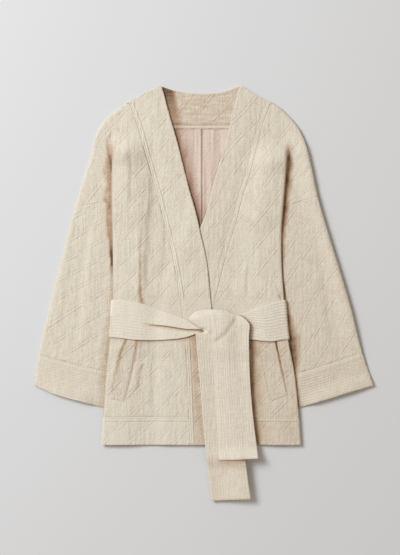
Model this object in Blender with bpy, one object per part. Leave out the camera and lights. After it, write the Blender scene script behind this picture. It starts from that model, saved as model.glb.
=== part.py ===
# Kimono coat, laid flat on its back with its own belt tied.
#
# Metres. The coat lies on z = 0, +Z is up out of its front, +Y points to the neck and
# +X to the wearer's left. The origin is under the middle of the whole outline.
# Lines and outlines are given in millimetres, in short tables.
#
# Every piece is a closed wall of cloth. Its outline is drawn in cloth coordinates (u, v):
# v is the world y, and u is the distance across, measured along the cloth, so a fold
# takes up cloth. A place function then gives the inner and the outer point of the wall
# at each (u, v). The quilting and the ribs are raised in the outer points only.

import bpy
import numpy as np
from mathutils import Vector
from mathutils.geometry import delaunay_2d_cdt

MM = 0.001

# Cloth
WALL = 2.0 * MM  # quilted cotton of the panels and sleeves
BAND_WALL = 2.4 * MM  # doubled cloth of the neckband, hem and cuffs
LINING_WALL = 1.2 * MM
BELT_WALL = 2.0 * MM
LAYER_GAP = 0.6 * MM  # between the front and the back layer of a flat tube
CLEAR = 0.3 * MM  # between pieces that touch
SEAM = 0.15 * MM  # half of the gap at a seam
ARM_SEAM = 0.4 * MM  # the same at the curved armhole

# Quilting and ribs
PUFF = 1.1 * MM  # height of a quilted diamond
QUILT_PITCH = 44 * MM  # between the stitched lines of one direction
RIB_PITCH = 9 * MM
PLAIN_STEP = 30 * MM  # between points of the plain surfaces
TURN_STEPS = 4  # facets of a half turn
RIB = 0.5 * MM
BELT_RIBS = 8
CUFF_ROWS = 19

# The pleat where each sleeve is laid down beside the body
TIP = WALL + LAYER_GAP / 2  # half the thickness of two layers
TURN = TIP + SEAM  # radius of the middle line in a turn
TURN_LENGTH = np.pi * TURN
PLEAT_DEPTH = 20 * MM  # at the underarm
EDGE_TURN = (LAYER_GAP + WALL) * np.pi / 4
BELT_CLEAR = 0.5 * MM
BELT_AROUND = TIP + BELT_CLEAR + BELT_WALL / 2  # radius of the belt round the body's edge
FLAT_MID = TIP  # height of the line between the layers where the coat lies on the floor
OVER_SLEEVE = 2 * TIP + 3 * CLEAR + TIP  # the same line where the body lies on a sleeve
PLEAT_OPENING = 90 * MM  # over which the pleat goes from flat to fully folded
UNDERARM_SLOPE = 70 * MM  # over which the body comes down below the underarm
FOLD_END = 3.5 * MM  # from the end of a crease line to the armhole seam
TUCK = 30 * MM  # how far a sleeve reaches in under the body
LEAST_FOLD = 0.004

# How cloth bridges from a piece below it down to the next one
BRIDGE = 20 * MM
SLOPE = 34 * MM
INSIDE_LIFT = 2.0 * MM  # facing and lining under the front edges
AIR = 1.2 * MM  # loose cloth between the front and the back, away from the side edges
OVERLAP_LIFT = BAND_WALL + 0.4 * MM  # one front over the other

# Levels across the coat
NECK_SEAM_Y = 411 * MM
NECK_CORNER_Y = 455 * MM
FACING_TOP_Y = 430 * MM
HEM_SEAM_Y = -273 * MM
HEM_Y = -335 * MM
PIPING_TOP_Y = 369 * MM
PIPING_BOTTOM_Y = 361 * MM
LINING_BOTTOM_Y = 125 * MM
LINING_MARGIN = 14 * MM
OVERLAP_TOP_Y = 165 * MM  # where one front begins to lie over the other
CUFF_TOP_Y = -180 * MM  # of each cuff, where it meets the side of the body
CUFF_BOTTOM_Y = -255 * MM
BELT_BACK_TOP_Y = -16 * MM
BELT_BACK_BOTTOM_Y = -99 * MM

# Lines down the coat. Columns: y, x.
EDGE_RIGHT = [(391, -193), (367, -195), (314, -200), (61, -200), (-16, -200), (-100, -206),
              (-181, -215), (-251, -220), (-335, -226)]
EDGE_LEFT = [(380, 188), (347, 187), (288, 183), (233, 179), (171, 174), (105, 171), (39, 173),
             (-16, 177), (-104, 186), (-177, 200), (-254, 208), (-335, 214)]
OUTLINE_RIGHT = [(456, -94), (422, -162), (391, -206), (353, -234), (303, -248), (188, -283),
                 (105, -305), (-27, -338), (-98, -355), (-135, -362), (-203, -374)]
OUTLINE_LEFT = [(456, 80), (433, 118), (415, 156), (393, 184), (367, 206), (331, 223), (281, 236),
                (215, 250), (138, 272), (67, 294), (-27, 322), (-131, 349), (-203, 374)]
FRONT_RIGHT = [(456, -93), (397, -77), (331, -58), (243, -36), (171, -16), (136, -8), (76, 5),
               (-36, 17), (-115, 27), (-335, 47)]
SEAM_RIGHT = [(418, -164), (369, -146), (320, -132), (243, -110), (149, -85), (83, -69), (-31, -50),
              (-104, -41), (-181, -36), (-262, -33), (-335, -30)]
FRONT_LEFT = [(456, 80), (419, 69), (360, 55), (292, 36), (232, 19), (171, 3), (142, -8), (61, -33),
              (-27, -55), (-126, -59), (-335, -59)]
SEAM_LEFT = [(418, 147), (369, 129), (314, 115), (265, 102), (210, 85), (149, 69), (94, 52), (39, 38),
             (-27, 22), (-115, 18), (-335, 18)]

# Lines across. Columns: distance out from the middle, y.
ARM_RIGHT = [(160, 184), (190, 194), (222, 200), (254, 195), (300, 181)]
ARM_LEFT = [(140, 174), (174, 187), (206, 200), (243, 211), (280, 220)]
CUFF_SEAM_RIGHT = [(180, -181), (217, -172), (283, -157), (360, -136), (400, -124)]
CUFF_SEAM_LEFT = [(170, -185), (205, -177), (278, -156), (349, -131), (390, -117)]
CUFF_END_RIGHT = [(190, -260), (226, -251), (283, -236), (327, -223), (374, -203), (400, -192)]
CUFF_END_LEFT = [(180, -262), (212, -252), (294, -227), (375, -203), (400, -195)]

# The top fold behind the neck. Columns: x, y.
NECK_TOP = [(-94, 456), (-63, 446), (-8, 439), (47, 444), (80, 456)]

# Belt. Columns: distance out from the middle, top y, bottom y.
BELT_STRETCH_RIGHT = [(4, -75, -85), (36, -60, -97), (91, -40, -104), (146, -21, -104), (200, -16, -98),
                      (230, -16, -98)]
BELT_STRETCH_LEFT = [(78, -49, -100), (104, -39, -103), (129, -29, -106), (150, -22, -107),
                     (173, -16, -103), (200, -16, -98)]

# Tails of the belt. Columns: y, left x, right x.
TAIL_UPPER = [(-42, 12, 50), (-49, 13, 73), (-60, 14, 94), (-71, 16, 100), (-126, 20, 102), (-207, 24, 107),
              (-365, 32, 117)]
TAIL_LOWER = [(-90, -18, 64), (-203, -8, 74), (-335, 3, 88), (-455, 17, 103)]
KNOT_OUTLINE = [(-29, -58), (-24, -49), (-3, -40), (18, -38), (47, -39), (71, -47), (96, -60), (101, -71),
                (101, -88), (60, -88), (17, -88), (0, -84), (-15, -71)]
KNOT_HEIGHT = 6.0 * MM
KNOT_FOOT_Y = -86 * MM
TAIL_DOWN_Y = -104 * MM  # where the tails come down off the belt
TAIL_LOWER_TOP_Y = -89 * MM

# Pocket welts, the corners from the top outer one round. Columns: x, y.
WELT_RIGHT = [(-172, -111), (-190, -152), (-205, -232), (-176, -240), (-162, -192), (-148, -111)]
WELT_LEFT = [(157, -112), (170, -170), (184, -226), (149, -237), (134, -170), (122, -112)]
WELT_WALL = 1.8 * MM

# Quilting: the slope of each direction of stitched lines, in degrees.
QUILT_ANGLES = {
    "front_right": (47, -47),
    "front_left": (52, -40),
    "sleeve_right": (30, -55),
    "sleeve_left": (57, -32),
}

# Colours
SHELL = (0.730, 0.665, 0.560)
BAND = (0.700, 0.635, 0.525)
BELT = (0.760, 0.695, 0.590)
LINING = (0.640, 0.520, 0.430)
PIPING = (0.620, 0.450, 0.390)


# Small functions

def curve(rows, column=1):
    """A smooth function through one column of a table, from the first column, in metres."""
    table = np.array(sorted(rows), float) * MM
    at, value = table[:, 0], table[:, column]
    slope = np.gradient(value, at)

    def read(place):
        place = np.clip(np.asarray(place, float), at[0], at[-1])
        i = np.clip(np.searchsorted(at, place, side="right") - 1, 0, len(at) - 2)
        step = at[i + 1] - at[i]
        t = (place - at[i]) / step
        return (value[i] * (1 + 2 * t) * (1 - t) ** 2 + value[i + 1] * t ** 2 * (3 - 2 * t)
                + step * (slope[i] * t * (1 - t) ** 2 - slope[i + 1] * t ** 2 * (1 - t)))

    return read


def rise(value, low, high):
    """0 at low, 1 at high, smooth between them."""
    t = np.clip((value - low) / (high - low), 0, 1)
    return t * t * (3 - 2 * t)


def covers(inside):
    """1 over a piece below and for a bridge round it, then 0; inside is the distance in from its edge."""
    return rise(inside, -BRIDGE - SLOPE, -BRIDGE)


def along(first, last, step):
    """Evenly spaced values from first to last, about step apart."""
    return np.linspace(first, last, max(2, int(round(abs(last - first) / step)) + 1))


def points(u, v):
    return np.column_stack(np.broadcast_arrays(u, v)).astype(float)


# The two sides of the coat. Distances out are positive on both.

class Side:
    def __init__(self, sign, edge, outline, arm, cuff_seam, cuff_end, pleat_top, underarm):
        self.sign = sign
        self.edge_x = curve(edge)
        self.outline_x = curve(outline)
        self.arm_y = curve(arm)
        self.cuff_seam_y = curve(cuff_seam)
        self.cuff_end_y = curve(cuff_end)
        self.pleat_top = pleat_top
        self.underarm = underarm

    def edge(self, y):
        return self.sign * self.edge_x(y)

    def outline(self, y):
        return self.sign * self.outline_x(y)

    def folded(self, y):
        """How far the pleat is folded, from nearly flat to a full turn back."""
        return np.maximum(rise(-y, -self.pleat_top, -self.pleat_top + PLEAT_OPENING), LEAST_FOLD)

    def depth(self, y):
        return PLEAT_DEPTH * np.clip((self.pleat_top - y) / (self.pleat_top - self.underarm), 0, 1)

    def radius(self, y):
        """Radius of the middle line in a turn: below the underarm the side edge is a plain fold."""
        return TURN * (1 - 0.98 * self.below_underarm(y)) / self.folded(y)

    def below_underarm(self, y):
        return rise(-y, -self.underarm, -self.underarm + UNDERARM_SLOPE)

    def start(self, y):
        """Distance out at which the body's edge begins to turn down."""
        most = np.minimum(self.folded(y) * np.pi, np.pi / 2)
        return self.edge(y) - (self.radius(y) + TIP) * np.sin(most)

    def second(self, y):
        """Distance out at which the pleat has turned back and the shoulder cap goes on."""
        turn = self.folded(y) * np.pi
        return self.start(y) + 2 * self.radius(y) * np.sin(turn) + self.depth(y) * np.cos(turn)

    def height(self, y):
        """Height of the middle line at the body's edge."""
        turn = self.folded(y) * np.pi
        pleat = 2 * self.radius(y) * (1 - np.cos(turn)) + self.depth(y) * np.sin(turn)
        below = self.below_underarm(y)
        return FLAT_MID + pleat * (1 - below) + (OVER_SLEEVE - FLAT_MID) * below + belt_lift(y)

    def cap_start(self, y):
        """The cloth coordinate where the shoulder cap begins, past the pleat."""
        return self.start(y) + 2 * TURN_LENGTH + self.depth(y)

    def cap_end(self, y):
        """The cloth coordinate of the outline, where the cap starts to turn down."""
        return self.cap_start(y) + self.outline(y) - TIP - self.second(y)

    def path(self, p, y):
        """Distance out, height and heading of the middle line at cloth coordinate p."""
        w, r, depth = self.folded(y), self.radius(y), self.depth(y)
        full = w * np.pi
        q = p - self.start(y)
        first = np.clip(q / TURN_LENGTH, 0, 1) * full
        back = np.clip(q - TURN_LENGTH, 0, depth)
        again = np.clip((q - TURN_LENGTH - depth) / TURN_LENGTH, 0, 1) * full
        on = np.maximum(q - 2 * TURN_LENGTH - depth, 0)
        out = self.start(y) + np.minimum(q, 0) + r * np.sin(first) + back * np.cos(full)
        out = out + r * (np.sin(full) - np.sin(full - again)) + on
        drop = r * (1 - np.cos(first)) + back * np.sin(full) + r * (np.cos(full - again) - np.cos(full))
        return out, drop, first - again


def belt_lift(y):
    """The body lies on the back stretch of the belt."""
    return (BELT_WALL + BELT_CLEAR) * covers(np.minimum(BELT_BACK_TOP_Y - y, y - BELT_BACK_BOTTOM_Y))


RIGHT = Side(-1, EDGE_RIGHT, OUTLINE_RIGHT, ARM_RIGHT, CUFF_SEAM_RIGHT, CUFF_END_RIGHT,
             pleat_top=362 * MM, underarm=180 * MM)
LEFT = Side(1, EDGE_LEFT, OUTLINE_LEFT, ARM_LEFT, CUFF_SEAM_LEFT, CUFF_END_LEFT,
            pleat_top=345 * MM, underarm=173 * MM)

front_right_x = curve(FRONT_RIGHT)
seam_right_x = curve(SEAM_RIGHT)
front_left_x = curve(FRONT_LEFT)
seam_left_x = curve(SEAM_LEFT)
neck_top_y = curve(NECK_TOP)


# Heights of the layers

def middle(x, y):
    """Height of the line between the back layer and the front layers, inside the body."""
    height = FLAT_MID + belt_lift(y)
    for side in (RIGHT, LEFT):
        start = side.start(y)
        flat = np.where(y > side.underarm - TUCK, side.depth(y) + 2 * TURN + TIP, TUCK) + BRIDGE / 2
        level = side.height(y) - FLAT_MID - belt_lift(y)
        height = height + level * rise(side.sign * x, start - flat - 2 * SLOPE, start - flat)
    return height


def inside_lift(x, y):
    """Under the front edges lie the facing and the lining."""
    across = np.minimum(x - front_right_x(y) + LINING_MARGIN, front_left_x(y) + LINING_MARGIN - x)
    return INSIDE_LIFT * covers(np.minimum(across, y - LINING_BOTTOM_Y))


def lower_front(x, y):
    """Inner surface of the wearer's left front."""
    loose = np.minimum(LEFT.start(y) - x, x + RIGHT.start(y))
    return middle(x, y) + inside_lift(x, y) + LAYER_GAP / 2 + AIR * rise(loose, 0, 26 * MM)


def upper_front(x, y):
    """Inner surface of the wearer's right front, which lies over the left one."""
    covered = np.minimum(x - front_left_x(y), OVERLAP_TOP_Y - y)
    return lower_front(x, y) + OVERLAP_LIFT * covers(covered)


def front_top(x, y):
    """Top of whichever front shows at a place, without its quilting."""
    upper = covers(front_right_x(y) - x)
    return lower_front(x, y) + (upper_front(x, y) - lower_front(x, y)) * upper + BAND_WALL


# Walls

def outline_of(*runs):
    """One closed outline from runs of points, without repeats."""
    ring = np.vstack(runs)
    keep = np.linalg.norm(ring - np.roll(ring, 1, axis=0), axis=1) > 0.05 * MM
    return ring[keep]


def edge_distance(place, ring):
    """Distance of each point to the outline."""
    a, b = ring, np.roll(ring, -1, axis=0)
    best = np.full(len(place), np.inf)
    for start, end in zip(a, b):
        run = end - start
        t = np.clip((place - start) @ run / (run @ run), 0, 1)
        best = np.minimum(best, np.linalg.norm(place - start - t[:, None] * run, axis=1))
    return best


def within(place, ring):
    """Which points lie inside the outline."""
    x, y = place[:, 0], place[:, 1]
    inside = np.zeros(len(place), bool)
    for (x0, y0), (x1, y1) in zip(ring, np.roll(ring, -1, axis=0)):
        crosses = (y0 > y) != (y1 > y)
        level = np.where(crosses, (x1 - x0) * (y - y0) / (y1 - y0 if y1 != y0 else 1) + x0, -np.inf)
        inside ^= crosses & (x < level)
    return inside


def triangulate(ring, extra, lines):
    """Points and triangles of an outline with points inside it and lines that stay edges."""
    place = [tuple(p) for p in ring]
    edges = []
    for line in lines:
        first = len(place)
        place += [tuple(p) for p in line]
        edges += [(i, i + 1) for i in range(first, len(place) - 1)]
    place += [tuple(p) for p in extra]
    face = list(range(len(ring)))
    found = delaunay_2d_cdt([Vector(p) for p in place], edges, [face], 1, 1e-7)
    return np.array([tuple(p) for p in found[0]]), found[2], found[3]


def add_cloth(name, place, ring, colour, outer=(), inner=(), lines=()):
    """A closed wall from an outline in cloth coordinates. place gives its inner and outer points."""
    clear = 2.5 * MM
    if runs_clockwise(ring):
        ring = ring[::-1]
    kept = []
    for extra in (outer, inner):
        extra = np.array(extra).reshape(-1, 2)
        good = within(extra, ring) & (edge_distance(extra, ring) > clear)
        for line in lines:
            good &= edge_distance(extra, line) > clear
        kept.append(extra[good])
    verts, faces = [], []
    rims = []
    for outside, extra in ((True, kept[0]), (False, kept[1])):
        flat, triangles, origins = triangulate(ring, extra, lines)
        first = len(verts)
        solid = place(flat[:, 0], flat[:, 1])[1 if outside else 0]
        verts += [tuple(p) for p in solid]
        for t in triangles:
            t = [first + i for i in t]
            faces.append(t if outside else t[::-1])
        rim = [None] * len(ring)
        for index, sources in enumerate(origins):
            for source in sources:
                if source < len(ring):
                    rim[source] = first + index
        rims.append(rim)
    top, bottom = rims
    for i in range(len(ring)):
        j = (i + 1) % len(ring)
        faces.append([top[j], top[i], bottom[i], bottom[j]])
    mesh = bpy.data.meshes.new(name)
    mesh.from_pydata(verts, [], faces)
    mesh.validate()
    mesh.update()
    mesh.shade_smooth()
    mesh.set_sharp_from_angle(angle=np.radians(50))
    obj = bpy.data.objects.new(name, mesh)
    bpy.context.scene.collection.objects.link(obj)
    mesh.materials.append(material(name, colour))
    return obj


def runs_clockwise(ring):
    """Whether an outline runs clockwise."""
    x, y = ring[:, 0], ring[:, 1]
    return np.sum(x * np.roll(y, -1) - y * np.roll(x, -1)) < 0


def material(name, colour):
    made = bpy.data.materials.new(name)
    made.use_nodes = True
    shader = made.node_tree.nodes["Principled BSDF"]
    shader.inputs["Base Color"].default_value = (*colour, 1)
    shader.inputs["Roughness"].default_value = 0.9
    shader.inputs["Metallic"].default_value = 0
    return made


# Quilting

def quilt_axes(name):
    """The normals of the two directions of stitched lines."""
    angles = np.radians(QUILT_ANGLES[name])
    return np.column_stack([-np.sin(angles), np.cos(angles)])


def quilt_points(name, low, high):
    """Points on the stitched lines and at thirds between them."""
    normals = quilt_axes(name)
    steps = np.linalg.inv(normals) * QUILT_PITCH / 3
    reach = int(np.ceil((np.linalg.norm(np.subtract(high, low)) + 0.5) / QUILT_PITCH * 3))
    i, j = np.meshgrid(np.arange(-reach, reach + 1), np.arange(-reach, reach + 1))
    found = np.column_stack([i.ravel(), j.ravel()]) @ steps.T
    return found[((found > low) & (found < high)).all(axis=1)]


def where_seen(seen, fine, plain):
    """Fine points where the quilting shows and plain ones where it is hidden."""
    return np.vstack([fine[seen(*fine.T) > 0.02], plain[seen(*plain.T) <= 0.02]])


def quilt_height(name, u, v):
    """0 on the stitched lines, 1 on the diamonds between them."""
    position = np.column_stack([u, v]) @ quilt_axes(name).T / QUILT_PITCH
    away = np.abs(position - np.round(position)).min(axis=1)
    return np.clip(3 * away, 0, 1)


def mesh_points(low, high, step):
    """Points of one plain grid, for inner and unseen surfaces: layers share them, so they stay parallel."""
    i = np.arange(int(np.floor(low[0] / step)), int(np.ceil(high[0] / step)) + 1)
    j = np.arange(int(np.floor(low[1] / step)), int(np.ceil(high[1] / step)) + 1)
    i, j = np.meshgrid(i, j)
    return points((i + (j % 2) / 2).ravel() * step, j.ravel() * step)


# Place functions

def lift(x, y, z):
    return np.column_stack([x, y, z])


def plate(bottom, wall, relief=None):
    """Cloth that lies flat: bottom(x, y) is its lower surface and relief raises its top."""
    def place(x, y):
        low = bottom(x, y)
        high = low + wall + (relief(x, y) if relief else 0)
        return lift(x, y, low), lift(x, y, high)
    return place


def front_place(side, base, name, seen):
    """A front: its body, the pleat at the armhole, the cap and the turned edges."""
    def place(u, y):
        p = side.sign * u
        out, drop, heading = side.path(p, y)
        turned = np.clip(p - side.cap_end(y), 0, EDGE_TURN) / EDGE_TURN * np.pi / 2
        at_tip = np.clip(p - side.cap_end(y), 0, None)
        upper = y > side.underarm - 1 * MM
        heading = heading + np.where(upper, turned, 0)
        out = out - np.where(upper, at_tip, 0)
        x = side.sign * out
        z = np.where(p < side.start(y), base(side.sign * np.minimum(p, side.start(y)), y) - LAYER_GAP / 2,
                     side.height(y) - drop)
        puff = PUFF * quilt_height(name, u, y) * seen(u, y)
        result = []
        for away in (LAYER_GAP / 2, LAYER_GAP / 2 + WALL + puff):
            result.append(lift(x + side.sign * away * np.sin(heading), y, z + away * np.cos(heading)))
        return result
    return place


def back_place(u, y):
    """The back panel with the same pleats; its own outer side is below."""
    x, z, lean = np.zeros_like(u), np.zeros_like(u), np.zeros_like(u)
    for side in (RIGHT, LEFT):
        mine = side.sign * u > 0
        p = side.sign * u
        out, drop, heading = side.path(p, y)
        height = np.where(p < side.start(y), middle(side.sign * np.minimum(p, side.start(y)), y),
                          side.height(y) - drop)
        x = np.where(mine, side.sign * out, x)
        z = np.where(mine, height, z)
        lean = np.where(mine, side.sign * heading, lean)
    z = np.where(u == 0, middle(u, y), z)
    result = []
    for away in (-LAYER_GAP / 2, -TIP):
        result.append(lift(x + away * np.sin(lean), y, z + away * np.cos(lean)))
    return result


def tube_place(side, relief):
    """A flat tube open at both ends, joined under the body: top, turn at the outline, bottom."""
    def place(u, y):
        p = side.sign * u
        tip = tube_tip(side, y)
        half = (LAYER_GAP + WALL) * np.pi / 2
        heading = np.clip((p - tip) / half, 0, 1) * np.pi
        out = np.minimum(p, tip) - np.maximum(p - tip - half, 0)
        top = np.where(p < tip, relief(u, y), 0)
        result = []
        for away in (LAYER_GAP / 2, LAYER_GAP / 2 + WALL + top):
            result.append(lift(side.sign * (out + away * np.sin(heading)), y,
                               WALL + LAYER_GAP / 2 + away * np.cos(heading)))
        return result
    return place


def belt_place(side, base, ribs):
    """A belt stretch: over the front and round the body's edge. Here u counts from where the edge turns."""
    def place(u, y):
        q = side.sign * u
        start = side.start(y)
        heading = np.clip(q / BELT_AROUND, 0, np.pi)
        x = side.sign * (start + np.minimum(q, 0))
        z = np.where(q < 0, base(x, y) + BAND_WALL - TIP, side.height(y))
        raised = ribs(start + q, y)
        result = []
        for away in (TIP + BELT_CLEAR, TIP + BELT_CLEAR + BELT_WALL + raised):
            result.append(lift(x + side.sign * away * np.sin(heading), y, z + away * np.cos(heading)))
        return result
    return place


# Outlines

def signed(side, p, y):
    return points(side.sign * np.asarray(p), y)


def column(side, p_of, first, last, step):
    """A run of points down a line given as a function of y."""
    y = along(first, last, step)
    return signed(side, p_of(y), y)


def arm_level(side, p):
    """y of the armhole seam at cloth coordinate p, past the body's edge."""
    y = np.full_like(p, side.underarm)
    for _ in range(6):
        y = side.arm_y(side.path(p, y)[0])
    return y


def fold_coordinates(side, y):
    """Cloth coordinates of the creases of the pleat at one y."""
    start, depth = side.start(y), side.depth(y)
    turn = [start + TURN_LENGTH * k / TURN_STEPS for k in range(TURN_STEPS + 1)]
    again = [turn[-1] + depth + TURN_LENGTH * k / TURN_STEPS for k in range(TURN_STEPS + 1)]
    return turn + again


def cap_corner(side, end):
    """y where the armhole seam meets the outline."""
    y = np.array([side.underarm])
    for _ in range(8):
        y = side.arm_y(side.path(end(y), y)[0])
    return float(y[0]) + ARM_SEAM


def cap_run(side, end, first):
    """The lower edge of the pleat and cap, from one of the creases out to the outline."""
    y = np.array([side.underarm])
    folds = [float(start_of[0]) for start_of in fold_coordinates(side, y)][first:]
    last = float(end(np.array([cap_corner(side, end)]))[0])
    p = np.array(folds + list(along(folds[-1], last, 9 * MM))[1:-1])
    return signed(side, p, arm_level(side, p) + ARM_SEAM)


def fold_lines(side, run_on=0):
    """The creases of the pleat as lines. The first run_on of them go on down the turned side edge."""
    lines = []
    for k in range(2 * TURN_STEPS + 2):
        bottom = side.underarm
        for _ in range(4):
            bottom = float(arm_level(side, np.array([fold_coordinates(side, bottom)[k]]))[0])
        y = along(side.pleat_top, bottom + FOLD_END, 18 * MM)
        if k < run_on:
            y = np.concatenate([y, along(y[-1], HEM_SEAM_Y + 8 * MM, 24 * MM)[1:]])
        p = fold_coordinates(side, y)[k]
        lines.append(signed(side, p, y))
    return lines


def front_outline(side, seam_x):
    """From the top of the shoulder down the outline, round the cap, the edge and the band seam."""
    def end(y):
        return side.cap_end(y) + EDGE_TURN

    def edge(y):
        return side.start(y) + TURN_LENGTH / 2

    def seam(y):
        return side.sign * seam_x(y) + SEAM

    top = shoulder_top(side, seam_x)
    bottom = cap_corner(side, end)
    run_down = column(side, end, top, bottom, 15 * MM)
    cap = cap_run(side, end, TURN_STEPS // 2)[::-1]
    body = column(side, edge, float(cap[-1][1]) - 2 * MM, HEM_SEAM_Y + SEAM, 26 * MM)
    hem_p = along(float(edge(HEM_SEAM_Y)), float(seam(HEM_SEAM_Y)), 26 * MM)
    hem = signed(side, hem_p, HEM_SEAM_Y + SEAM)
    up = column(side, seam, HEM_SEAM_Y + SEAM, top, 24 * MM)
    return outline_of(run_down, cap, body, hem, up)


def shoulder_top(side, seam_x):
    """y where the band's seam meets the outline of the shoulder."""
    levels = np.linspace(0.36, 0.44, 400)
    width = side.outline(levels) - side.sign * seam_x(levels)
    return float(levels[np.argmin(np.abs(width - 7 * MM))])


# Pieces

def seen_front(side, seam_x):
    """Where a front's quilting shows: clear of its edges, the pleat, the belt and the other front."""
    def seen(u, y):
        p = side.sign * u
        out = side.path(p, y)[0]
        body = rise(side.start(y) - p, 0, 6 * MM)
        cap = rise(out - side.edge(y), 2 * MM, 10 * MM) * rise(p - side.cap_start(y), -4 * MM, 4 * MM)
        rim = rise(side.cap_end(y) - p, 0, 8 * MM)
        where = np.where(p < side.start(y), body, cap * rim)
        where = where * rise(p - side.sign * seam_x(y), 0, 6 * MM)
        where = where * rise(y, HEM_SEAM_Y, HEM_SEAM_Y + 8 * MM) * (1 - under_belt(u, y))
        if side is RIGHT:
            return where * rise(-u + seam_x(y), 4 * MM, 12 * MM)
        return where * rise(u - np.maximum(seam_x(y), front_right_x(y)), 4 * MM, 12 * MM)
    return seen


def under_belt(x, y):
    """1 under the belt stretches and the tails, where the cloth is pressed flat."""
    stretch = rise(np.minimum(-4 * MM - y, y + 117 * MM), -6 * MM, 6 * MM)
    tails = rise(np.minimum(np.minimum(x + 26 * MM, 124 * MM - x), -100 * MM - y), -6 * MM, 6 * MM)
    return np.maximum(stretch, tails)


def add_fronts():
    table = (
        ("front_right", RIGHT, seam_right_x, upper_front),
        ("front_left", LEFT, seam_left_x, lower_front),
    )
    for name, side, seam_x, base in table:
        ring = front_outline(side, seam_x)
        low, high = ring.min(axis=0), ring.max(axis=0)
        seen = seen_front(side, seam_x)
        place = front_place(side, base, name, seen)
        inner = mesh_points(low, high, PLAIN_STEP)
        outer = where_seen(seen, quilt_points(name, low, high), inner)
        add_cloth(name, place, ring, SHELL, outer, inner, fold_lines(side, TURN_STEPS // 2))


def add_back():
    runs = []
    for side in (LEFT, RIGHT):
        def end(y, side=side):
            return side.cap_end(y) + TIP

        bottom = cap_corner(side, end)
        down = column(side, end, NECK_SEAM_Y - SEAM, bottom, 15 * MM)
        cap = cap_run(side, end, 0)[::-1]
        body = column(side, side.start, float(cap[-1][1]) - 2 * MM, HEM_SEAM_Y + SEAM, 26 * MM)
        runs.append(np.vstack([down, cap, body]))
    left, right = runs
    hem = points(along(left[-1][0], right[-1][0], 40 * MM), HEM_SEAM_Y + SEAM)
    neck = points(along(right[0][0], left[0][0], 40 * MM), NECK_SEAM_Y - SEAM)
    ring = outline_of(left, hem, right[::-1], neck)
    low, high = ring.min(axis=0), ring.max(axis=0)
    spread = mesh_points(low, high, PLAIN_STEP)
    lines = fold_lines(LEFT) + fold_lines(RIGHT)

    def place(u, y):
        inner, outer = back_place(u, y)
        return outer, inner

    add_cloth("back_panel", place, ring, SHELL, spread, spread, lines)


def add_neckbands():
    table = (
        ("neckband_right", RIGHT, front_right_x, seam_right_x, upper_front),
        ("neckband_left", LEFT, front_left_x, seam_left_x, lower_front),
    )
    for name, side, front_x, seam_x, base in table:
        top = shoulder_top(side, seam_x)
        shoulder_y = along(NECK_CORNER_Y, top, 12 * MM)
        shoulder = points(side.outline_x(shoulder_y), shoulder_y)
        down, up = along(top, HEM_Y, 24 * MM), along(HEM_Y, NECK_CORNER_Y, 22 * MM)
        seam = points(seam_x(down) - side.sign * SEAM, down)
        front = points(front_x(up), up)
        hem = points(along(seam[-1][0], front[0][0], 20 * MM), HEM_Y)
        ring = outline_of(shoulder, seam, hem, front)
        low, high = ring.min(axis=0), ring.max(axis=0)
        spread = mesh_points(low, high, PLAIN_STEP)
        add_cloth(name, plate(base, BAND_WALL), ring, BAND, spread, spread)


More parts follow.
